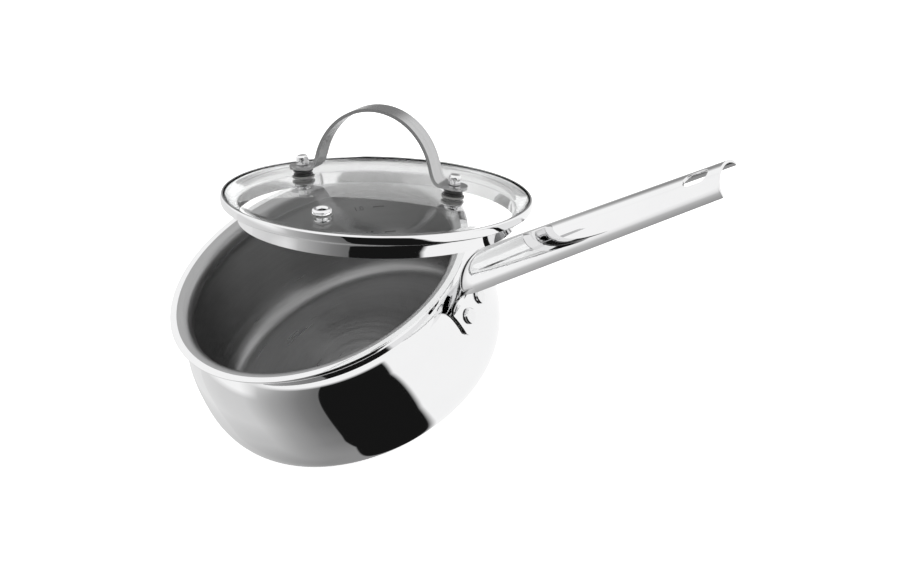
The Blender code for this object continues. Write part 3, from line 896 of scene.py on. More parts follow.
@dataclass
class PanShell:
    """The pressed pan, mirror bright outside and spun inside, its inside darkened grey as painted shade,
    with its volume marks.
    """

    wall: PanWall
    finishes: Finishes
    steps: int = 224
    bright_lip: float = 0.0046  # width of the bright ring inside the rim's edge
    mark_heights: tuple[float, ...] = (0.0292, 0.0500, 0.0708)
    mark_values: tuple[str, ...] = ("0.5", "1.0", "1.5")
    dash_azimuths: tuple[float, float] = (98.4, 93.6)
    dash_thickness: float = 0.0010
    value_azimuth: float = 106.4
    value_size: float = 0.0052
    mark_stand: float = 0.00006  # how far the marks stand off the wall
    dash_steps: int = 12
    lip_sweep: float = 80.0  # to each side of straight out, where the lip is rounded
    lip_steps: int = 7

    def build(self) -> list[Piece]:
        """Makes the shell and its marks."""
        return [self._shell(), self._marks()]

    def _shell(self) -> Piece:
        """The pan's sheet with a rounded lip."""
        line = self.wall.middle()
        normals = side_normals(line)
        normals[line[:, 0] < self.wall.floor_radius - 0.001] = (0.0, 1.0)
        half = self.wall.sheet / 2
        inner, outer = line + normals * half, line - normals * half
        outward = (line[-1] - line[-2]) / np.linalg.norm(line[-1] - line[-2])
        square = normals[-1] * half
        turn = np.radians(np.linspace(self.lip_sweep, -self.lip_sweep, self.lip_steps))[:, None]
        reach = outward * self.wall.sheet * self.wall.lip_rounding
        lip = line[-1] + np.cos(turn) * reach + np.sin(turn) * square
        outline = joined(inner, lip, outer[::-1])
        bright_from = self.wall.rim_radius - self.bright_lip
        # Zone 0, the spun inside, takes the bowl steel with its painted shade; the lip and outside take
        # mirror steel.
        spun = (outline[:, 0] < bright_from) | (outline[:, 1] < self.wall.neck_height)
        zones = [0 if i < len(inner) and spun[i] else 1 for i in range(len(outline) - 1)]
        mesh = turned_mesh("pan_shell", outline, self.steps, zones=zones, crease=60.0)
        made = make_object("pan_shell", mesh, (self.finishes.bowl, self.finishes.mirror))
        return Piece(made, Body.PAN, "polished_steel", ("pan_body",))

    def _on_wall(
        self, run: float, rise: float, azimuth: float, height: float
    ) -> tuple[float, float, float]:
        """A point just proud of the inner wall.

        Args:
            run: Its distance to the reader's right of the mark's start, round the wall.
            rise: Its distance above the mark's own height.
            azimuth: Where the mark starts.
            height: The mark's height.

        Returns:
            The point.
        """
        radius = self.wall.inside_radius(height + rise) - self.mark_stand
        angle = math.radians(azimuth) - run / self.wall.belly_radius
        return radius * math.cos(angle), radius * math.sin(angle), height + rise

    def _marks(self) -> Piece:
        """The etched volume marks: a value and a dash at each height."""
        shape = bmesh.new()
        for height, value in zip(self.mark_heights, self.mark_values):
            start, end = self.dash_azimuths
            length = math.radians(start - end) * self.wall.belly_radius
            half = self.dash_thickness / 2
            runs = np.linspace(0.0, length, self.dash_steps)
            for first, last in zip(runs[:-1], runs[1:]):
                corners = ((first, -half), (last, -half), (last, half), (first, half))
                shape.faces.new([shape.verts.new(self._on_wall(x, y, start, height)) for x, y in corners])
            letters = bpy.data.curves.new("mark_value", "FONT")
            letters.body, letters.size, letters.resolution_u = value, self.value_size, 4
            letters.align_y = "CENTER"
            holder = bpy.data.objects.new("mark_value", letters)
            flat = bpy.data.meshes.new_from_object(holder)
            first_new = len(shape.verts)
            shape.from_mesh(flat)
            shape.verts.ensure_lookup_table()
            for vertex in shape.verts[first_new:]:
                vertex.co = self._on_wall(vertex.co.x, vertex.co.y, self.value_azimuth, height)
            bpy.data.objects.remove(holder)
            bpy.data.meshes.remove(flat)
        mesh = bpy.data.meshes.new("volume_marks")
        shape.to_mesh(mesh)
        shape.free()
        made = make_object("volume_marks", mesh, [self.finishes.etched])
        return Piece(made, Body.PAN, "polished_steel")


@dataclass
class Base:
    """The steel cap that closes the aluminium disc under the floor."""

    finishes: Finishes
    radius: float = 0.0713
    sheet: float = 0.0006
    corner: float = 0.0024
    top: float = 0.0041
    steps: int = 160

    def build(self) -> list[Piece]:
        """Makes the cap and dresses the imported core."""
        centre = (self.radius - self.corner, self.corner)
        outline = joined(
            [(0.0, self.sheet)],
            arc(centre, self.corner - self.sheet, -90.0, 0.0, 8),
            [(self.radius - self.sheet, self.top), (self.radius, self.top)],
            arc(centre, self.corner, 0.0, -90.0, 10),
            [(self.radius * share, 0.0) for share in (0.9, 0.6, 0.3, 0.0)],
        )
        mesh = turned_mesh("base_cap_shell", outline, self.steps)
        cap = make_object("base_cap_shell", mesh, [self.finishes.cap])
        core = frame["nodes"]["base_core"]
        core.data.materials.clear()
        core.data.materials.append(self.finishes.core)
        return [Piece(cap, Body.PAN, "satin_steel", ("base_cap",))]


@dataclass
class Handle:
    """The channel handle with the arch on top, its riveting plate and its hanging slot."""

    wall: PanWall
    finishes: Finishes
    sheet: float = 0.0015
    rise: float = 21.4
    reach: float = 0.1654
    crest_lift: float = 0.0053
    bend_run: float = 0.0160
    bend_hand: float = 0.0145
    root_half_width: float = 0.0162
    end_half_width: float = 0.0120
    root_arch: float = 0.0103
    end_arch: float = 0.0078
    plate_half_width: float = 0.0160
    plate_bottom_drop: float = 0.0350
    plate_top_drop: float = 0.0190
    plate_corner: float = 0.0040
    slot_length: float = 0.0150
    slot_width: float = 0.0086
    slot_end_margin: float = 0.0080
    plate_gap: float = TOUCH * 1.5  # between the wall and the plate
    patch_margin: float = 0.35  # of the slot's end margin, how far its patch runs past it
    plate_rows: int = 16
    bend_rows: int = 33
    channel_rows: int = 33
    patch_rows: int = 21
    end_rows: int = 4
    columns: int = 45
    patch_columns: int = 13  # half of the columns that the slot's patch spans
    patch_rings: tuple[float, ...] = (0.25, 0.5, 0.72, 0.88, 1.0)  # from its border to the slot
    edge_easing: float = 0.00035

    def _crest(self) -> tuple[Points, Points]:
        """The middle of the sheet on the handle's plane of symmetry.

        Returns:
            Its points in X and Z, and how far the sheet has turned from plate into channel at each.
        """
        offset = self.plate_gap + self.sheet / 2
        plate = []
        bottom, top = self.wall.height - self.plate_bottom_drop, self.wall.height - self.plate_top_drop
        for height in np.linspace(bottom, top, self.plate_rows):
            point, normal = self.wall.outside(height)
            plate.append(point + normal * offset)
        along = self._along()
        over_rim = np.array([self.wall.rim_radius, self.wall.height + self.crest_lift])
        over_rim = over_rim - np.array([-along[1], along[0]]) * self.sheet / 2
        start = over_rim + along * self.bend_run
        end = over_rim + along * self.reach / math.cos(math.radians(self.rise))
        under_rim = (self.wall.rim_radius, (plate[-1][1] + self.wall.height) / 2)
        bend = bezier(plate[-1], under_rim, start - along * self.bend_hand, start, self.bend_rows + 1)
        line = np.vstack([plate, bend[1:], self._stations(start, end, along)[1:]])
        straight = len(line) - len(plate) - self.bend_rows
        turning = np.linspace(0.0, 1.0, self.bend_rows + 1)[1:]
        turn = np.concatenate([np.zeros(len(plate)), turning, np.ones(straight)])
        return line, turn * turn * (3 - 2 * turn)

    def _along(self) -> Points:
        """The direction of the straight channel, in X and Z."""
        return np.array([math.cos(math.radians(self.rise)), math.sin(math.radians(self.rise))])

    def _stations(self, start: Points, end: Points, along: Points) -> Points:
        """Points along the straight channel, closer together beside the slot.

        Args:
            start, end: Where the channel starts and ends.
            along: Its direction.

        Returns:
            The points.
        """
        length = float(np.dot(end - start, along))
        margin = self.slot_end_margin * self.patch_margin
        patch_end = length - self.slot_end_margin + margin
        patch_start = length - self.slot_end_margin - self.slot_length - margin
        runs = np.concatenate(
            [
                np.linspace(0.0, patch_start, self.channel_rows + 1),
                np.linspace(patch_start, patch_end, self.patch_rows + 1)[1:],
                np.linspace(patch_end, length, self.end_rows + 1)[1:],
            ]
        )
        return start + runs[:, None] * along

    def _surface(self) -> tuple[list, list]:
        """The middle surface as vertices and faces, with the slot left out of it.

        Returns:
            The vertices and the faces.
        """
        line, turns = self._crest()
        under = -side_normals(line)
        travelled = distances(line)
        first = int(np.argmax(turns >= 1.0))
        share = np.clip((travelled - travelled[first]) / (travelled[-1] - travelled[first]), 0, 1)
        across = np.linspace(-1.0, 1.0, self.columns)
        vertices: list[tuple] = []
        for i, point in enumerate(line):
            root = (1 - turns[i]) * self.plate_half_width + turns[i] * self.root_half_width
            half_width = root + (self.end_half_width - self.root_half_width) * share[i]
            run = travelled[i]
            if run < self.plate_corner:
                rounded = math.sqrt(self.plate_corner**2 - (self.plate_corner - run) ** 2)
                half_width -= self.plate_corner - rounded
            arch = self.root_arch + (self.end_arch - self.root_arch) * share[i]
            flat_side = half_width * across
            inward = (1 - turns[i]) * point[0] * (1 - np.sqrt(1 - (flat_side / point[0]) ** 2))
            drop = turns[i] * arch * (1 - np.cos(across * math.pi / 2))
            side = (1 - turns[i]) * flat_side + turns[i] * half_width * np.sin(across * math.pi / 2)
            for s, n, d in zip(side, inward, drop):
                vertices.append((point[0] - n + d * under[i][0], s, point[1] + d * under[i][1]))
        rows = len(line)
        row_high = rows - 1 - self.end_rows
        row_low = row_high - self.patch_rows
        middle = (self.columns - 1) // 2
        column_low, column_high = middle - self.patch_columns, middle + self.patch_columns
        faces = []
        for face in grid_faces(rows, self.columns):
            row, column = divmod(face[0], self.columns)
            if not (row_low <= row < row_high and column_low <= column < column_high):
                faces.append(face)
        border = [(row_low, c) for c in range(column_low, column_high)]
        border += [(r, column_high) for r in range(row_low, row_high)]
        border += [(row_high, c) for c in range(column_high, column_low, -1)]
        border += [(r, column_low) for r in range(row_high, row_low, -1)]
        self._add_patch(vertices, faces, [r * self.columns + c for r, c in border], line, share)
        return vertices, faces

    def _channel_point(
        self, run: float, side: float, line: Points, share: Points
    ) -> tuple[float, float, float]:
        """A point of the straight channel's middle surface.

        Args:
            run: Its distance back from the handle's end, along the channel.
            side: Its distance to the side of the crest.
            line: The crest's points.
            share: How far along the channel each of them is.

        Returns:
            The point.
        """
        along = self._along()
        crest = line[-1] - along * run
        first = int(np.argmax(share > 0.0)) - 1
        length = float(np.linalg.norm(line[-1] - line[first]))
        part = 1.0 - run / length
        half_width = self.root_half_width + (self.end_half_width - self.root_half_width) * part
        arch = self.root_arch + (self.end_arch - self.root_arch) * part
        drop = arch * (1 - math.sqrt(max(0.0, 1 - (side / half_width) ** 2)))
        return crest[0] + drop * along[1], side, crest[1] - drop * along[0]

    def _slot_edge(self, run: float, side: float) -> tuple[float, float]:
        """The slot's edge in the direction of a point, both measured from the slot's middle.

        Args:
            run: The point's distance along the channel.
            side: Its distance to the side.

        Returns:
            The edge's point.
        """
        radius = self.slot_width / 2
        half = self.slot_length / 2 - radius
        size = math.hypot(run, side)
        u, v = run / size, side / size
        if abs(v) > 1e-9 and abs(u) * radius / abs(v) <= half:
            reach = radius / abs(v)
        else:
            lean = half * abs(u)
            reach = lean + math.sqrt(lean**2 - half**2 + radius**2)
        return u * reach, v * reach

    def _add_patch(
        self, vertices: list, faces: list, border: Sequence[int], line: Points, share: Points
    ) -> None:
        """Fills the space between the slot's edge and the border of the patch left for it.

        Args:
            vertices, faces: The surface so far, which it adds to.
            border: The patch's border, as vertex numbers in order.
            line: The crest's points.
            share: How far along the channel each of them is.
        """
        along = self._along()
        centre = self.slot_end_margin + self.slot_length / 2
        rings = [list(border)]
        starts = []
        for number in border:
            x, y, z = vertices[number]
            run = float(np.dot(line[-1] - np.array([x, z]), along))
            starts.append((run - centre, y))
        for part in self.patch_rings:
            ring = []
            for run, side in starts:
                edge = self._slot_edge(run, side)
                here = (run + (edge[0] - run) * part, side + (edge[1] - side) * part)
                ring.append(len(vertices))
                vertices.append(self._channel_point(centre + here[0], here[1], line, share))
            rings.append(ring)
        count = len(border)
        for outer, inner in zip(rings[:-1], rings[1:]):
            for k in range(count):
                n = (k + 1) % count
                faces.append((outer[k], outer[n], inner[n], inner[k]))

    def build(self) -> list[Piece]:
        """Makes the handle."""
        vertices, faces = self._surface()
        mesh = sheet_mesh("channel_handle", vertices, faces)
        made = make_object("channel_handle", mesh, [self.finishes.mirror])
        thicken(made, self.sheet, self.edge_easing)
        return [Piece(made, Body.PAN, "polished_steel", ("handle",))]


@dataclass
class Rivets:
    """The two rivets that hold the handle's plate to the wall."""

    wall: PanWall
    finishes: Finishes
    plate_sheet: float = 0.0015
    drop: float = 0.0262
    spacing: float = 0.0155
    shank: float = 0.0025
    head_radius: float = 0.0046
    head_height: float = 0.0024
    inner_radius: float = 0.0042
    inner_height: float = 0.0011
    inner_taper: float = 0.0003
    inner_easing: float = 0.0006
    head_gaps: float = TOUCH * 2.5  # under and over the plate
    inner_gap: float = TOUCH * 1.7
    steps: int = 72

    def build(self) -> list[Piece]:
        """Makes both rivets."""
        point, normal = self.wall.outside(self.wall.height - self.drop)
        seat = self.head_gaps + self.plate_sheet
        inner_seat = -self.wall.sheet - self.inner_gap
        dome = bezier(
            (0.0, seat + self.head_height),
            (self.head_radius * 0.6, seat + self.head_height),
            (self.head_radius, seat + self.head_height * 0.75),
            (self.head_radius, seat),
            18,
        )
        foot = eased(
            [
                (self.inner_radius, inner_seat),
                (self.inner_radius - self.inner_taper, inner_seat - self.inner_height),
                (0.0, inner_seat - self.inner_height),
            ],
            self.inner_easing,
        )
        outline = joined(dome, [(self.shank, seat), (self.shank, inner_seat)], foot)
        pieces = []
        for name, side in (("rivet_left", 1), ("rivet_right", -1)):
            turn = Matrix.Rotation(side * self.spacing / 2 / point[0], 3, "Z")
            foot_point, outward = (turn @ Vector((v[0], 0.0, v[1])) for v in (point, normal))
            place = frame_on(foot_point, outward, (0.0, 0.0, 1.0))
            mesh = turned_mesh(f"{name}_dome", outline, self.steps)
            made = make_object(f"{name}_dome", mesh, [self.finishes.bright], place)
            pieces.append(Piece(made, Body.PAN, "satin_steel", (name,)))
        return pieces


# The lid


@dataclass
class LidFrame:
    """Where the lid hangs over the pan, and the line of its glass."""

    x: float = 0.0620
    y: float = -0.0036
    height: float = 0.137831
    tilt: float = 29.8
    tilt_azimuth: float = 72.3
    spin: float = -69.2
    band_radius: float = 0.0815
    band_sheet: float = 0.0005
    glass_thickness: float = 0.0034
    glass_margin: float = 0.0052
    dome_rise: float = 0.0060

    @property
    def glass_radius(self) -> float:
        """The radius of the glass, inside the band."""
        return self.band_radius - self.band_sheet - TOUCH

    def place(self) -> Matrix:
        """The matrix of the lid's own frame, whose Z is the lid's axis."""
        return (
            Matrix.Translation((self.x, self.y, self.height))
            @ Matrix.Rotation(math.radians(self.tilt_azimuth), 4, "Z")
            @ Matrix.Rotation(math.radians(self.tilt), 4, "Y")
            @ Matrix.Rotation(math.radians(self.spin), 4, "Z")
        )

    def dome(self, count: int) -> Points:
        """The glass's upper surface from its centre to its flat margin.

        Args:
            count: How many points.

        Returns:
            The points, as (radius, height).
        """
        edge = self.glass_radius - self.glass_margin
        sphere = (edge**2 + self.dome_rise**2) / (2 * self.dome_rise)
        rim_angle = 90.0 - math.degrees(math.asin(edge / sphere))
        return arc((0.0, self.dome_rise - sphere - TOUCH), sphere, 90.0, rim_angle, count)

    def dome_at(self, radius: float) -> tuple[float, float]:
        """The height of the glass's upper surface at a radius, and its slope as an angle in radians."""
        line = self.dome(200)
        slope = np.interp(radius, line[:-1, 0], np.diff(line[:, 1]) / np.diff(line[:, 0]))
        return float(np.interp(radius, line[:, 0], line[:, 1])), math.atan(float(slope))


@dataclass
class LidDisc:
    """The domed glass and the steel band that holds its margin."""

    frame: LidFrame
    finishes: Finishes
    corner: float = 0.0008
    cover: float = 0.0014
    ledge_width: float = 0.0022
    ledge_drop: float = 0.0003
    fillet: float = 0.0016
    skirt_radius: float = 0.0726
    skirt_depth: float = 0.0134
    bead_swell: float = 0.00012
    bead_hand: float = 1.6  # of the corner, how far along the bead its curve's hands reach
    steps: int = 224

    def build(self) -> list[Piece]:
        """Makes the glass and the band."""
        return [self._glass(), self._band()]

    def _glass(self) -> Piece:
        """The glass with a rounded outer edge."""
        upper = self.frame.dome(40)
        normals = side_normals(upper)
        normals[0] = normals[-1] = (0.0, 1.0)
        thickness = self.frame.glass_thickness
        lower = upper - normals * thickness
        middle = (self.frame.glass_radius - thickness / 2, -TOUCH - thickness / 2)
        outline = joined(upper, arc(middle, thickness / 2, 90, -90, 13), lower[::-1])
        mesh = turned_mesh("domed_glass", outline, self.steps, crease=60.0)
        made = make_object("domed_glass", mesh, [self.finishes.glass], self.frame.place())
        return Piece(made, Body.LID, "glass", ("lid_glass",))

    def _band(self) -> Piece:
        """The rolled band: a lip over the glass, a bead, a ledge under it and the skirt."""
        half = self.frame.band_sheet / 2
        bead = self.frame.band_radius - half
        under = -TOUCH * 2 - self.frame.glass_thickness - half
        skirt = self.skirt_radius - half
        inner = bead - self.corner
        ledge = (inner - self.ledge_width, under - self.ledge_drop)
        fillet_top = (skirt + 2 * self.fillet, ledge[1] - self.fillet / 2)
        fillet_end = (skirt, ledge[1] - 2 * self.fillet)
        line = joined(
            [(self.frame.band_radius - self.cover, half), (inner, half)],
            arc((inner, half - self.corner), self.corner, 90, 0, 9),
            bezier(
                (bead, half - self.corner),
                (bead + self.bead_swell, half - self.corner * self.bead_hand),
                (bead + self.bead_swell, under + self.corner * self.bead_hand),
                (bead, under + self.corner),
                9,
            ),
            arc((inner, under + self.corner), self.corner, 0, -90, 9),
            [ledge],
            bezier(
                fillet_top,
                (skirt + self.fillet, fillet_top[1] - self.ledge_drop),
                (skirt, fillet_end[1] + self.fillet),
                fillet_end,
                14,
            ),
            [(skirt, -self.skirt_depth * 0.8), (skirt, -self.skirt_depth)],
        )
        normals = side_normals(line)
        outline = joined(line + normals * half, (line - normals * half)[::-1])
        mesh = turned_mesh("rolled_band", outline, self.steps, closed=True)
        made = make_object("rolled_band", mesh, [self.finishes.mirror], self.frame.place())
        return Piece(made, Body.LID, "polished_steel", ("lid_band",))


@dataclass
class Strap:
    """The arched strap handle with rounded toes."""

    frame: LidFrame
    finishes: Finishes
    stack: float = 0.0051  # from the glass to the strap's underside
    sheet: float = 0.0018
    width: float = 0.0126
    foot_reach: float = 0.0424
    toe: float = 0.0072
    leg_inset: float = 0.0086
    arch_height: float = 0.0378
    leg_spread: float = 14.0
    leg_hand: float = 0.0075
    heel_hand: float = 0.0035
    heel_gap: float = 0.0006
    nut_radius: float = 0.0033
    arch_steps: int = 48
    heel_steps: int = 30
    foot_steps: int = 14
    toe_steps: int = 16
    columns: int = 13
    edge_easing: float = 0.00030

    def _half_line(self) -> Points:
        """The middle of the strap from its crown to one toe, as (reach, height)."""
        height, slope = self.frame.dome_at(self.foot_reach)
        along = np.array([math.cos(slope), math.sin(slope)])
        square = np.array([-along[1], along[0]])
        screw = np.array([self.foot_reach, height]) + square * (self.stack + self.sheet / 2)
        leg = self.foot_reach - self.leg_inset - self.sheet / 2
        crown = screw[1] + self.arch_height - self.sheet
        turn = np.radians(np.linspace(90.0, self.leg_spread, self.arch_steps))
        arch = np.stack([leg * np.cos(turn), screw[1] + (crown - screw[1]) * np.sin(turn)], axis=1)
        heading = (arch[-1] - arch[-2]) / np.linalg.norm(arch[-1] - arch[-2])
        heel = screw - along * (self.nut_radius + self.heel_gap)
        leg_hand, heel_hand = arch[-1] + heading * self.leg_hand, heel - along * self.heel_hand
        fillet = bezier(arch[-1], leg_hand, heel_hand, heel, self.heel_steps)
        foot = np.linspace(0.1, 1.0, self.foot_steps)[:, None] * (screw + along * self.toe - heel)
        return joined(arch, fillet, heel + foot)

    def build(self) -> list[Piece]:
        """Makes the strap."""
        half_line = self._half_line()
        line = np.vstack([half_line[::-1] * (-1, 1), half_line[1:]])
        travelled = distances(line)
        radius, total = self.width / 2, travelled[-1]
        ends = radius * (1 - np.cos(np.radians(np.linspace(6.0, 90.0, self.toe_steps))))
        inner = travelled[(travelled > radius * 1.02) & (travelled < total - radius * 1.02)]
        stations = np.concatenate([ends, inner, total - ends[::-1]])
        vertices = []
        for run in stations:
            x, z = (np.interp(run, travelled, line[:, i]) for i in (0, 1))
            from_toe = min(run, total - run)
            half = radius if from_toe >= radius else math.sqrt(radius**2 - (radius - from_toe) ** 2)
            vertices.extend((x, half * s, z) for s in np.linspace(-1.0, 1.0, self.columns))
        mesh = sheet_mesh("arched_strap", vertices, grid_faces(len(stations), self.columns))
        made = make_object("arched_strap", mesh, [self.finishes.strap], self.frame.place())
        thicken(made, self.sheet, self.edge_easing)
        return [Piece(made, Body.LID, "satin_steel", ("lid_strap",))]


@dataclass
class FootFittings:
    """What clamps one foot of the strap to the glass: screw, cap nut, spacer, gaskets and washer."""

    frame: LidFrame
    finishes: Finishes
    tag: str
    side: int
    foot_reach: float = 0.0424
    strap_sheet: float = 0.0018
    screw_radius: float = 0.0020
    gasket_radius: float = 0.0060
    gasket_thickness: float = 0.0010
    spacer_radius: float = 0.0053
    spacer_height: float = 0.0032
    washer_radius: float = 0.0054
    washer_thickness: float = 0.0008
    head_radius: float = 0.0038
    head_height: float = 0.0022
    nut_radius: float = 0.0033
    nut_height: float = 0.0050
    nut_corner: float = 0.0014
    nut_cap: float = 0.0012  # closed end of the cap nut
    nut_shoulder: float = 0.0020  # from the nut's top down to where its side runs straight
    nut_easing: float = 0.0003
    head_easing: float = 0.0008
    gasket_easing: float = 0.0003
    washer_easing: float = 0.0002
    collar_easing: float = 0.00025
    waist_depth: float = 0.0009
    collar_inset: float = 0.0002  # how much narrower the collar's lower rim is
    steps: int = 64

    def _place(self) -> Matrix:
        """The frame on the glass under this foot."""
        height, slope = self.frame.dome_at(self.foot_reach)
        outward = (-self.side * math.sin(slope), 0.0, math.cos(slope))
        foot = (self.side * self.foot_reach, 0.0, height)
        return self.frame.place() @ frame_on(foot, outward, (0.0, 1.0, 0.0))

    def _turned(
        self,
        name: str,
        outline: Points,
        finish: bpy.types.Material,
        slot: str,
        node: str,
        closed: bool = True,
    ) -> Piece:
        """One turned piece of this foot.

        Args:
            name: The piece's name, without the foot's tag.
            outline: Its outline.
            finish: Its material.
            slot: Its material slot.
            node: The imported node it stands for, without the tag.
            closed: Whether the outline closes on itself.

        Returns:
            The piece.
        """
        mesh = turned_mesh(f"{self.tag}_{name}", outline, self.steps, closed)
        made = make_object(f"{self.tag}_{name}", mesh, [finish], self._place())
        return Piece(made, Body.LID, slot, (f"{node}_{self.tag}",))

    def _ring(self, outer: float, low: float, high: float, easing: float) -> Points:
        """A flat ring's outline with eased corners.

        Args:
            outer: Its outer radius.
            low, high: The heights it runs between.
            easing: How far its corners are rounded.

        Returns:
            The outline.
        """
        inner = self.screw_radius + HOLE_GAP
        return eased([(inner, high), (outer, high), (outer, low), (inner, low)], easing, closed=True)

    def _grooved(self, low: float, high: float) -> Points:
        """The spacer's outline, a collar with a groove round its waist.

        Args:
            low, high: The heights it runs between.

        Returns:
            The outline.
        """
        inner, outer, third = self.screw_radius + HOLE_GAP, self.spacer_radius, (high - low) / 3
        waist, lower = outer - self.waist_depth, outer - self.collar_inset
        outline = [
            (inner, high),
            (outer, high),
            (outer, high - third),
            (waist, high - third * 1.2),
            (waist, low + third * 1.1),
            (lower, low + third * 0.9),
            (lower, low),
            (inner, low),
        ]
        return eased(outline, self.collar_easing, closed=True)

    def build(self) -> list[Piece]:
        """Makes every fitting of this foot."""
        rubber, bright, spacer = self.finishes.rubber, self.finishes.bright, self.finishes.spacer
        upper = TOUCH + self.gasket_thickness
        collar = (upper + TOUCH, upper + TOUCH + self.spacer_height)
        strap_under = collar[1] + TOUCH
        high = -self.frame.glass_thickness - 1.5 * TOUCH
        washer_top = high - self.gasket_thickness - TOUCH
        head_top = washer_top - self.washer_thickness - TOUCH
        head_end = head_top - self.head_height
        nut_low = strap_under + self.strap_sheet + TOUCH
        nut_top = nut_low + self.nut_height
        thread, closed_end = self.screw_radius + TOUCH, nut_top - self.nut_cap
        tip = closed_end - TOUCH
        head = [
            (self.screw_radius, head_top),
            (self.head_radius, head_top),
            (self.head_radius, head_end),
            (0.0, head_end),
        ]
        screw = joined(
            [(0.0, tip), (self.screw_radius, tip), (self.screw_radius, head_top)],
            eased(head, self.head_easing),
        )
        shoulder = nut_top - self.nut_shoulder
        side = [(self.nut_radius, shoulder), (self.nut_radius, nut_low), (thread, nut_low)]
        nut = joined(
            [(0.0, nut_top)],
            arc((self.nut_radius - self.nut_corner, nut_top - self.nut_corner), self.nut_corner, 90, 0, 12),
            eased(side, self.nut_easing),
            [(thread, closed_end), (0.0, closed_end)],
        )
        gasket_low, washer_low = high - self.gasket_thickness, washer_top - self.washer_thickness
        lower_gasket = self._ring(self.gasket_radius, gasket_low, high, self.gasket_easing)
        washer = self._ring(self.washer_radius, washer_low, washer_top, self.washer_easing)
        upper_gasket = self._ring(self.gasket_radius, TOUCH, upper, self.gasket_easing)
        return [
            self._turned("upper_gasket", upper_gasket, rubber, "silicone", "seal_washer_upper"),
            self._turned("collar", self._grooved(*collar), spacer, "dark_spacer", "spacer"),
            self._turned("lower_gasket", lower_gasket, rubber, "silicone", "seal_washer_lower"),
            self._turned("plain_washer", washer, bright, "satin_steel", "washer"),
            self._turned("pan_head_screw", screw, bright, "satin_steel", "screw", False),
            self._turned("domed_nut", nut, self.finishes.mirror, "polished_steel", "cap_nut", False),
        ]


@dataclass
class SteamVent:
    """The eyelet through the glass and its seal."""

    frame: LidFrame
    finishes: Finishes
    reach: float = 0.0579
    azimuth: float = -94.5
    bore: float = 0.0022
    tube: float = 0.0029
    flange_radius: float = 0.0050
    flange_height: float = 0.0024
    foot_radius: float = 0.0045
    foot_height: float = 0.0008
    seal_radius: float = 0.0053
    seal_thickness: float = 0.0007
    foot_taper: float = 0.0003
    flange_easing: float = 0.0005
    seal_easing: float = 0.0002
    steps: int = 72

    def build(self) -> list[Piece]:
        """Makes the eyelet and its seal."""
        height, slope = self.frame.dome_at(self.reach)
        turn = math.radians(self.azimuth)
        out = Vector((math.cos(turn), math.sin(turn), 0.0))
        outward = out * -math.sin(slope) + Vector((0.0, 0.0, math.cos(slope)))
        centre = out * self.reach + Vector((0.0, 0.0, height))
        place = self.frame.place() @ frame_on(centre, outward, (0.0, 1.0, 0.0))
        seat = 2 * TOUCH + self.seal_thickness
        foot = -self.frame.glass_thickness - 1.5 * TOUCH
        crown, roll = self.flange_height / 2, (self.flange_radius - self.bore) / 2
        ring = arc((0.0, 0.0), 1.0, 180, 0, 25) * (roll, crown) + (self.bore + roll, seat + crown)
        under = eased(
            [(self.flange_radius, seat + crown), (self.flange_radius, seat), (self.tube, seat)],
            self.flange_easing,
        )
        tail = [
            (self.foot_radius, foot),
            (self.foot_radius - self.foot_taper, foot - self.foot_height),
            (self.bore, foot - self.foot_height),
        ]
        eyelet = joined(ring, under, [(self.tube, foot)], tail)
        mesh = turned_mesh("vent_ferrule", eyelet, self.steps, closed=True)
        ferrule = make_object("vent_ferrule", mesh, [self.finishes.mirror], place)
        inner, outer, top = self.tube + HOLE_GAP, self.seal_radius, TOUCH + self.seal_thickness
        seal = eased(
            [(inner, top), (outer, top), (outer, TOUCH), (inner, TOUCH)], self.seal_easing, closed=True
        )
        mesh = turned_mesh("vent_gasket", seal, self.steps, closed=True)
        gasket = make_object("vent_gasket", mesh, [self.finishes.rubber], place)
        return [
            Piece(ferrule, Body.LID, "polished_steel", ("vent_eyelet",)),
            Piece(gasket, Body.LID, "silicone", ("vent_seal",)),
        ]


# The studio


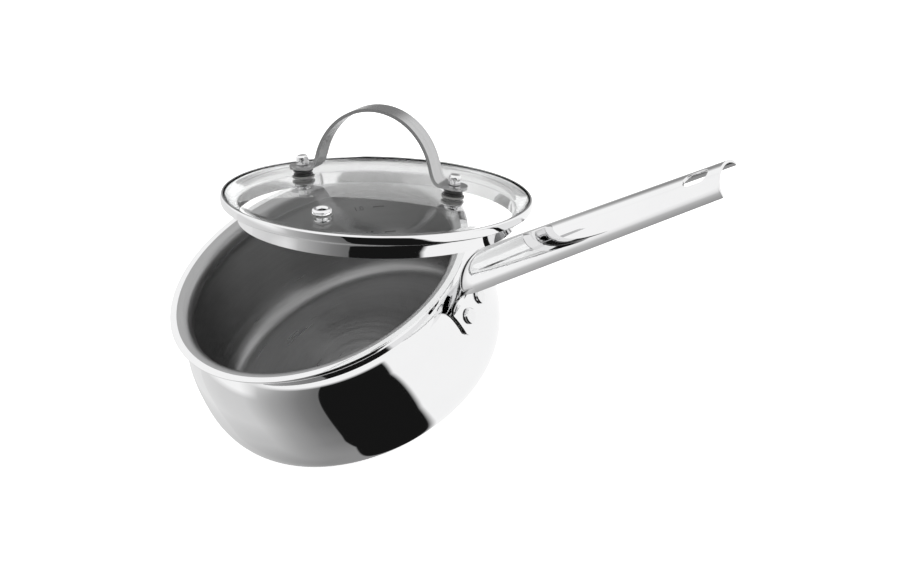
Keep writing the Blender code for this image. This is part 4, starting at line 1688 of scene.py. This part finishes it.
@dataclass
class Studio:
    """A pale floor, the camera, and what the steel mirrors: a white, a black and a grey side.

    The sides meet at planes through the pan. A plane is given by its inward direction, whose Z
    counts only below the horizon. Brightness goes from 0 for black to about 1 for white.
    """

    eye: tuple[float, float, float] = (0.5821, -0.69106, 0.7327)
    right: tuple[float, float, float] = (0.8855, 0.3481, -0.3077)
    upward: tuple[float, float, float] = (-0.0165, 0.6854, 0.7280)
    back: tuple[float, float, float] = (0.4643, -0.6396, 0.6127)
    lens: float = 80.0
    sensor: float = 36.0
    floor_size: float = 14.0
    floor_glow: float = 0.8
    panel: float = 1.04  # of the white side and overhead
    flag: float = 0.009  # of the black side
    bright_side: tuple[float, float, float] = (0.574, 0.819, 0.20)
    bright_edge: float = 0.03  # half the width of the white side's edge
    grey_sides: tuple[tuple[float, float, float], ...] = (
        (-0.9976, -0.0698, 0.0),
        (-0.9375, -0.3480, 0.19),
    )
    grey_edge: float = 0.008
    grey_levels: tuple[tuple[float, float], ...] = (  # azimuth and brightness
        (-180.0, 0.80),
        (-160.0, 0.72),
        (-140.0, 0.68),
        (-120.0, 0.41),
        (-100.0, 0.22),
        (-88.0, 0.16),
        (150.0, 0.86),
    )
    grey_foot: float = 0.29  # of the grey side straight below
    foot_fade: tuple[float, float] = (-0.92, -0.52)  # Z of the foot and of where it has faded out
    grey_top: tuple[float, float] = (0.04, 0.26)  # Z over which the grey side turns white
    grey_end: tuple[float, float] = (-0.78, -0.62)  # X over which it stops doing so
    overhead: tuple[float, float] = (0.56, 0.66)  # Z over which every side turns white
    dim_patch: tuple[float, float, float] = (-0.374, 0.923, -0.060)  # the way to a grey patch
    dim_level: float = 0.30
    dim_edge: tuple[float, float] = (0.91, 0.97)  # cosines from its middle, over which it fades in

    def build(self) -> None:
        """Makes the floor, the surround and the camera."""
        bpy.context.scene.view_settings.view_transform = "Standard"
        self._floor()
        self._surround()
        self._camera()

    def _floor(self) -> None:
        """A pale floor that the steel doesn't mirror."""
        shape = bmesh.new()
        half = self.floor_size / 2
        corners = ((-half, -half), (half, -half), (half, half), (-half, half))
        shape.faces.new([shape.verts.new((x, y, 0.0)) for x, y in corners])
        mesh = bpy.data.meshes.new("pale_floor")
        shape.to_mesh(mesh)
        shape.free()
        made = bpy.data.materials.new("pale_floor")
        made.use_nodes = True
        wires = Wiring(made.node_tree)
        shader = made.node_tree.nodes["Principled BSDF"]
        shader.inputs["Roughness"].default_value = 0.9
        shader.inputs["Emission Strength"].default_value = self.floor_glow
        shader.inputs["Emission Color"].default_value = (1.0, 1.0, 1.0, 1.0)
        point = wires.add("TexCoord").outputs["Object"]
        grey = wires.spread(wires.noise(point, 3.0, 2.0), 0.90, 0.92)
        wires.feed(shader.inputs["Base Color"], wires.combine(grey, grey, grey))
        floor = make_object("pale_floor", mesh, [made])
        floor.visible_glossy = False

    def _surround(self) -> None:
        """The white, black and grey sides, white overhead, and plain white to the camera."""
        world = bpy.data.worlds.new("studio")
        bpy.context.scene.world = world
        world.use_nodes = True
        wires = Wiring(world.node_tree)
        output = world.node_tree.nodes["World Output"]
        around = world.node_tree.nodes["Background"]
        x, y, z = wires.split(wires.add("TexCoord").outputs["Generated"])
        below = wires.math("MINIMUM", z, 0.0)

        white = wires.weighted((x, y, below), self.bright_side)
        bright = wires.spread(white, 0.0, self.panel, -self.bright_edge, self.bright_edge)
        grey_side = wires.math("MINIMUM", *(wires.weighted((x, y, below), way) for way in self.grey_sides))
        grey_mask = wires.spread(grey_side, 0.0, 1.0, -self.grey_edge, self.grey_edge)
        azimuth = wires.math("DIVIDE", wires.math("ARCTAN2", y, x), 2 * math.pi)
        around_pan = self._ramp(wires, wires.math("ADD", azimuth, 0.5), self.grey_levels)
        grey = wires.blend(around_pan, self.grey_foot, wires.spread(z, 1.0, 0.0, *self.foot_fade))
        rising = wires.spread(z, 0.0, 1.0, *self.grey_top)
        lifted = wires.math("MULTIPLY", rising, wires.spread(x, 1.0, 0.0, *self.grey_end))
        grey = wires.blend(grey, self.panel, lifted)
        side = wires.math("MAXIMUM", bright, wires.math("MULTIPLY", grey, grey_mask))
        value = wires.math("MAXIMUM", side, self.flag)
        value = wires.blend(value, self.panel, wires.spread(z, 0.0, 1.0, *self.overhead))
        near = wires.weighted((x, y, z), self.dim_patch)
        value = wires.blend(value, self.dim_level, wires.spread(near, 0.0, 1.0, *self.dim_edge))
        wires.feed(around.inputs["Color"], wires.combine(value, value, value))
        around.inputs["Strength"].default_value = 1.0
        plain = wires.add("Background")
        plain.inputs["Color"].default_value = (1.0, 1.0, 1.0, 1.0)
        pick = wires.add("MixShader")
        wires.feed(pick.inputs["Fac"], wires.add("LightPath").outputs["Is Camera Ray"])
        wires.feed(pick.inputs[1], around.outputs[0])
        wires.feed(pick.inputs[2], plain.outputs[0])
        wires.feed(output.inputs["Surface"], pick.outputs[0])

    def _ramp(self, wires: Wiring, place: Socket, levels: Sequence[tuple[float, float]]) -> Socket:
        """The grey side's brightness by azimuth.

        Args:
            wires: The world's wiring.
            place: The azimuth, from 0 to 1 for -180 to 180 degrees.
            levels: Azimuths and the brightness at each.

        Returns:
            The brightness.
        """
        ramp = wires.add("ValToRGB")
        wires.feed(ramp.inputs["Fac"], place)
        stops = ramp.color_ramp.elements
        while len(stops) > 1:
            stops.remove(stops[-1])
        for i, (angle, value) in enumerate(levels):
            at = angle / 360.0 + 0.5
            stop = stops[0] if i == 0 else stops.new(at)
            stop.position = at
            stop.color = (value, value, value, 1.0)
        return ramp.outputs["Color"]

    def _camera(self) -> None:
        """The camera, turned as its axes say."""
        data = bpy.data.cameras.new("camera")
        data.lens, data.sensor_width = self.lens, self.sensor
        data.clip_start, data.clip_end = 0.01, 100.0
        camera = bpy.data.objects.new("camera", data)
        bpy.context.scene.collection.objects.link(camera)
        axes = Matrix((self.right, self.upward, self.back)).transposed().to_4x4()
        camera.matrix_world = Matrix.Translation(self.eye) @ axes
        bpy.context.scene.camera = camera


def main() -> None:
    """Builds the pan, the lid and the studio, and reports each piece."""
    logging.basicConfig(level=logging.INFO, format="%(name)s: %(message)s")
    wall, lid = PanWall(), LidFrame()
    finishes = Finishes(tuple(lid.place().inverted().to_euler()))
    parts = (
        PanShell(wall, finishes),
        Base(finishes),
        Handle(wall, finishes),
        Rivets(wall, finishes),
        LidDisc(lid, finishes),
        Strap(lid, finishes),
        FootFittings(lid, finishes, "inner", -1),
        FootFittings(lid, finishes, "outer", 1),
        SteamVent(lid, finishes),
    )
    for part in parts:
        for piece in part.build():
            piece.settle()
    Studio().build()


if __name__ == "__main__":
    main()
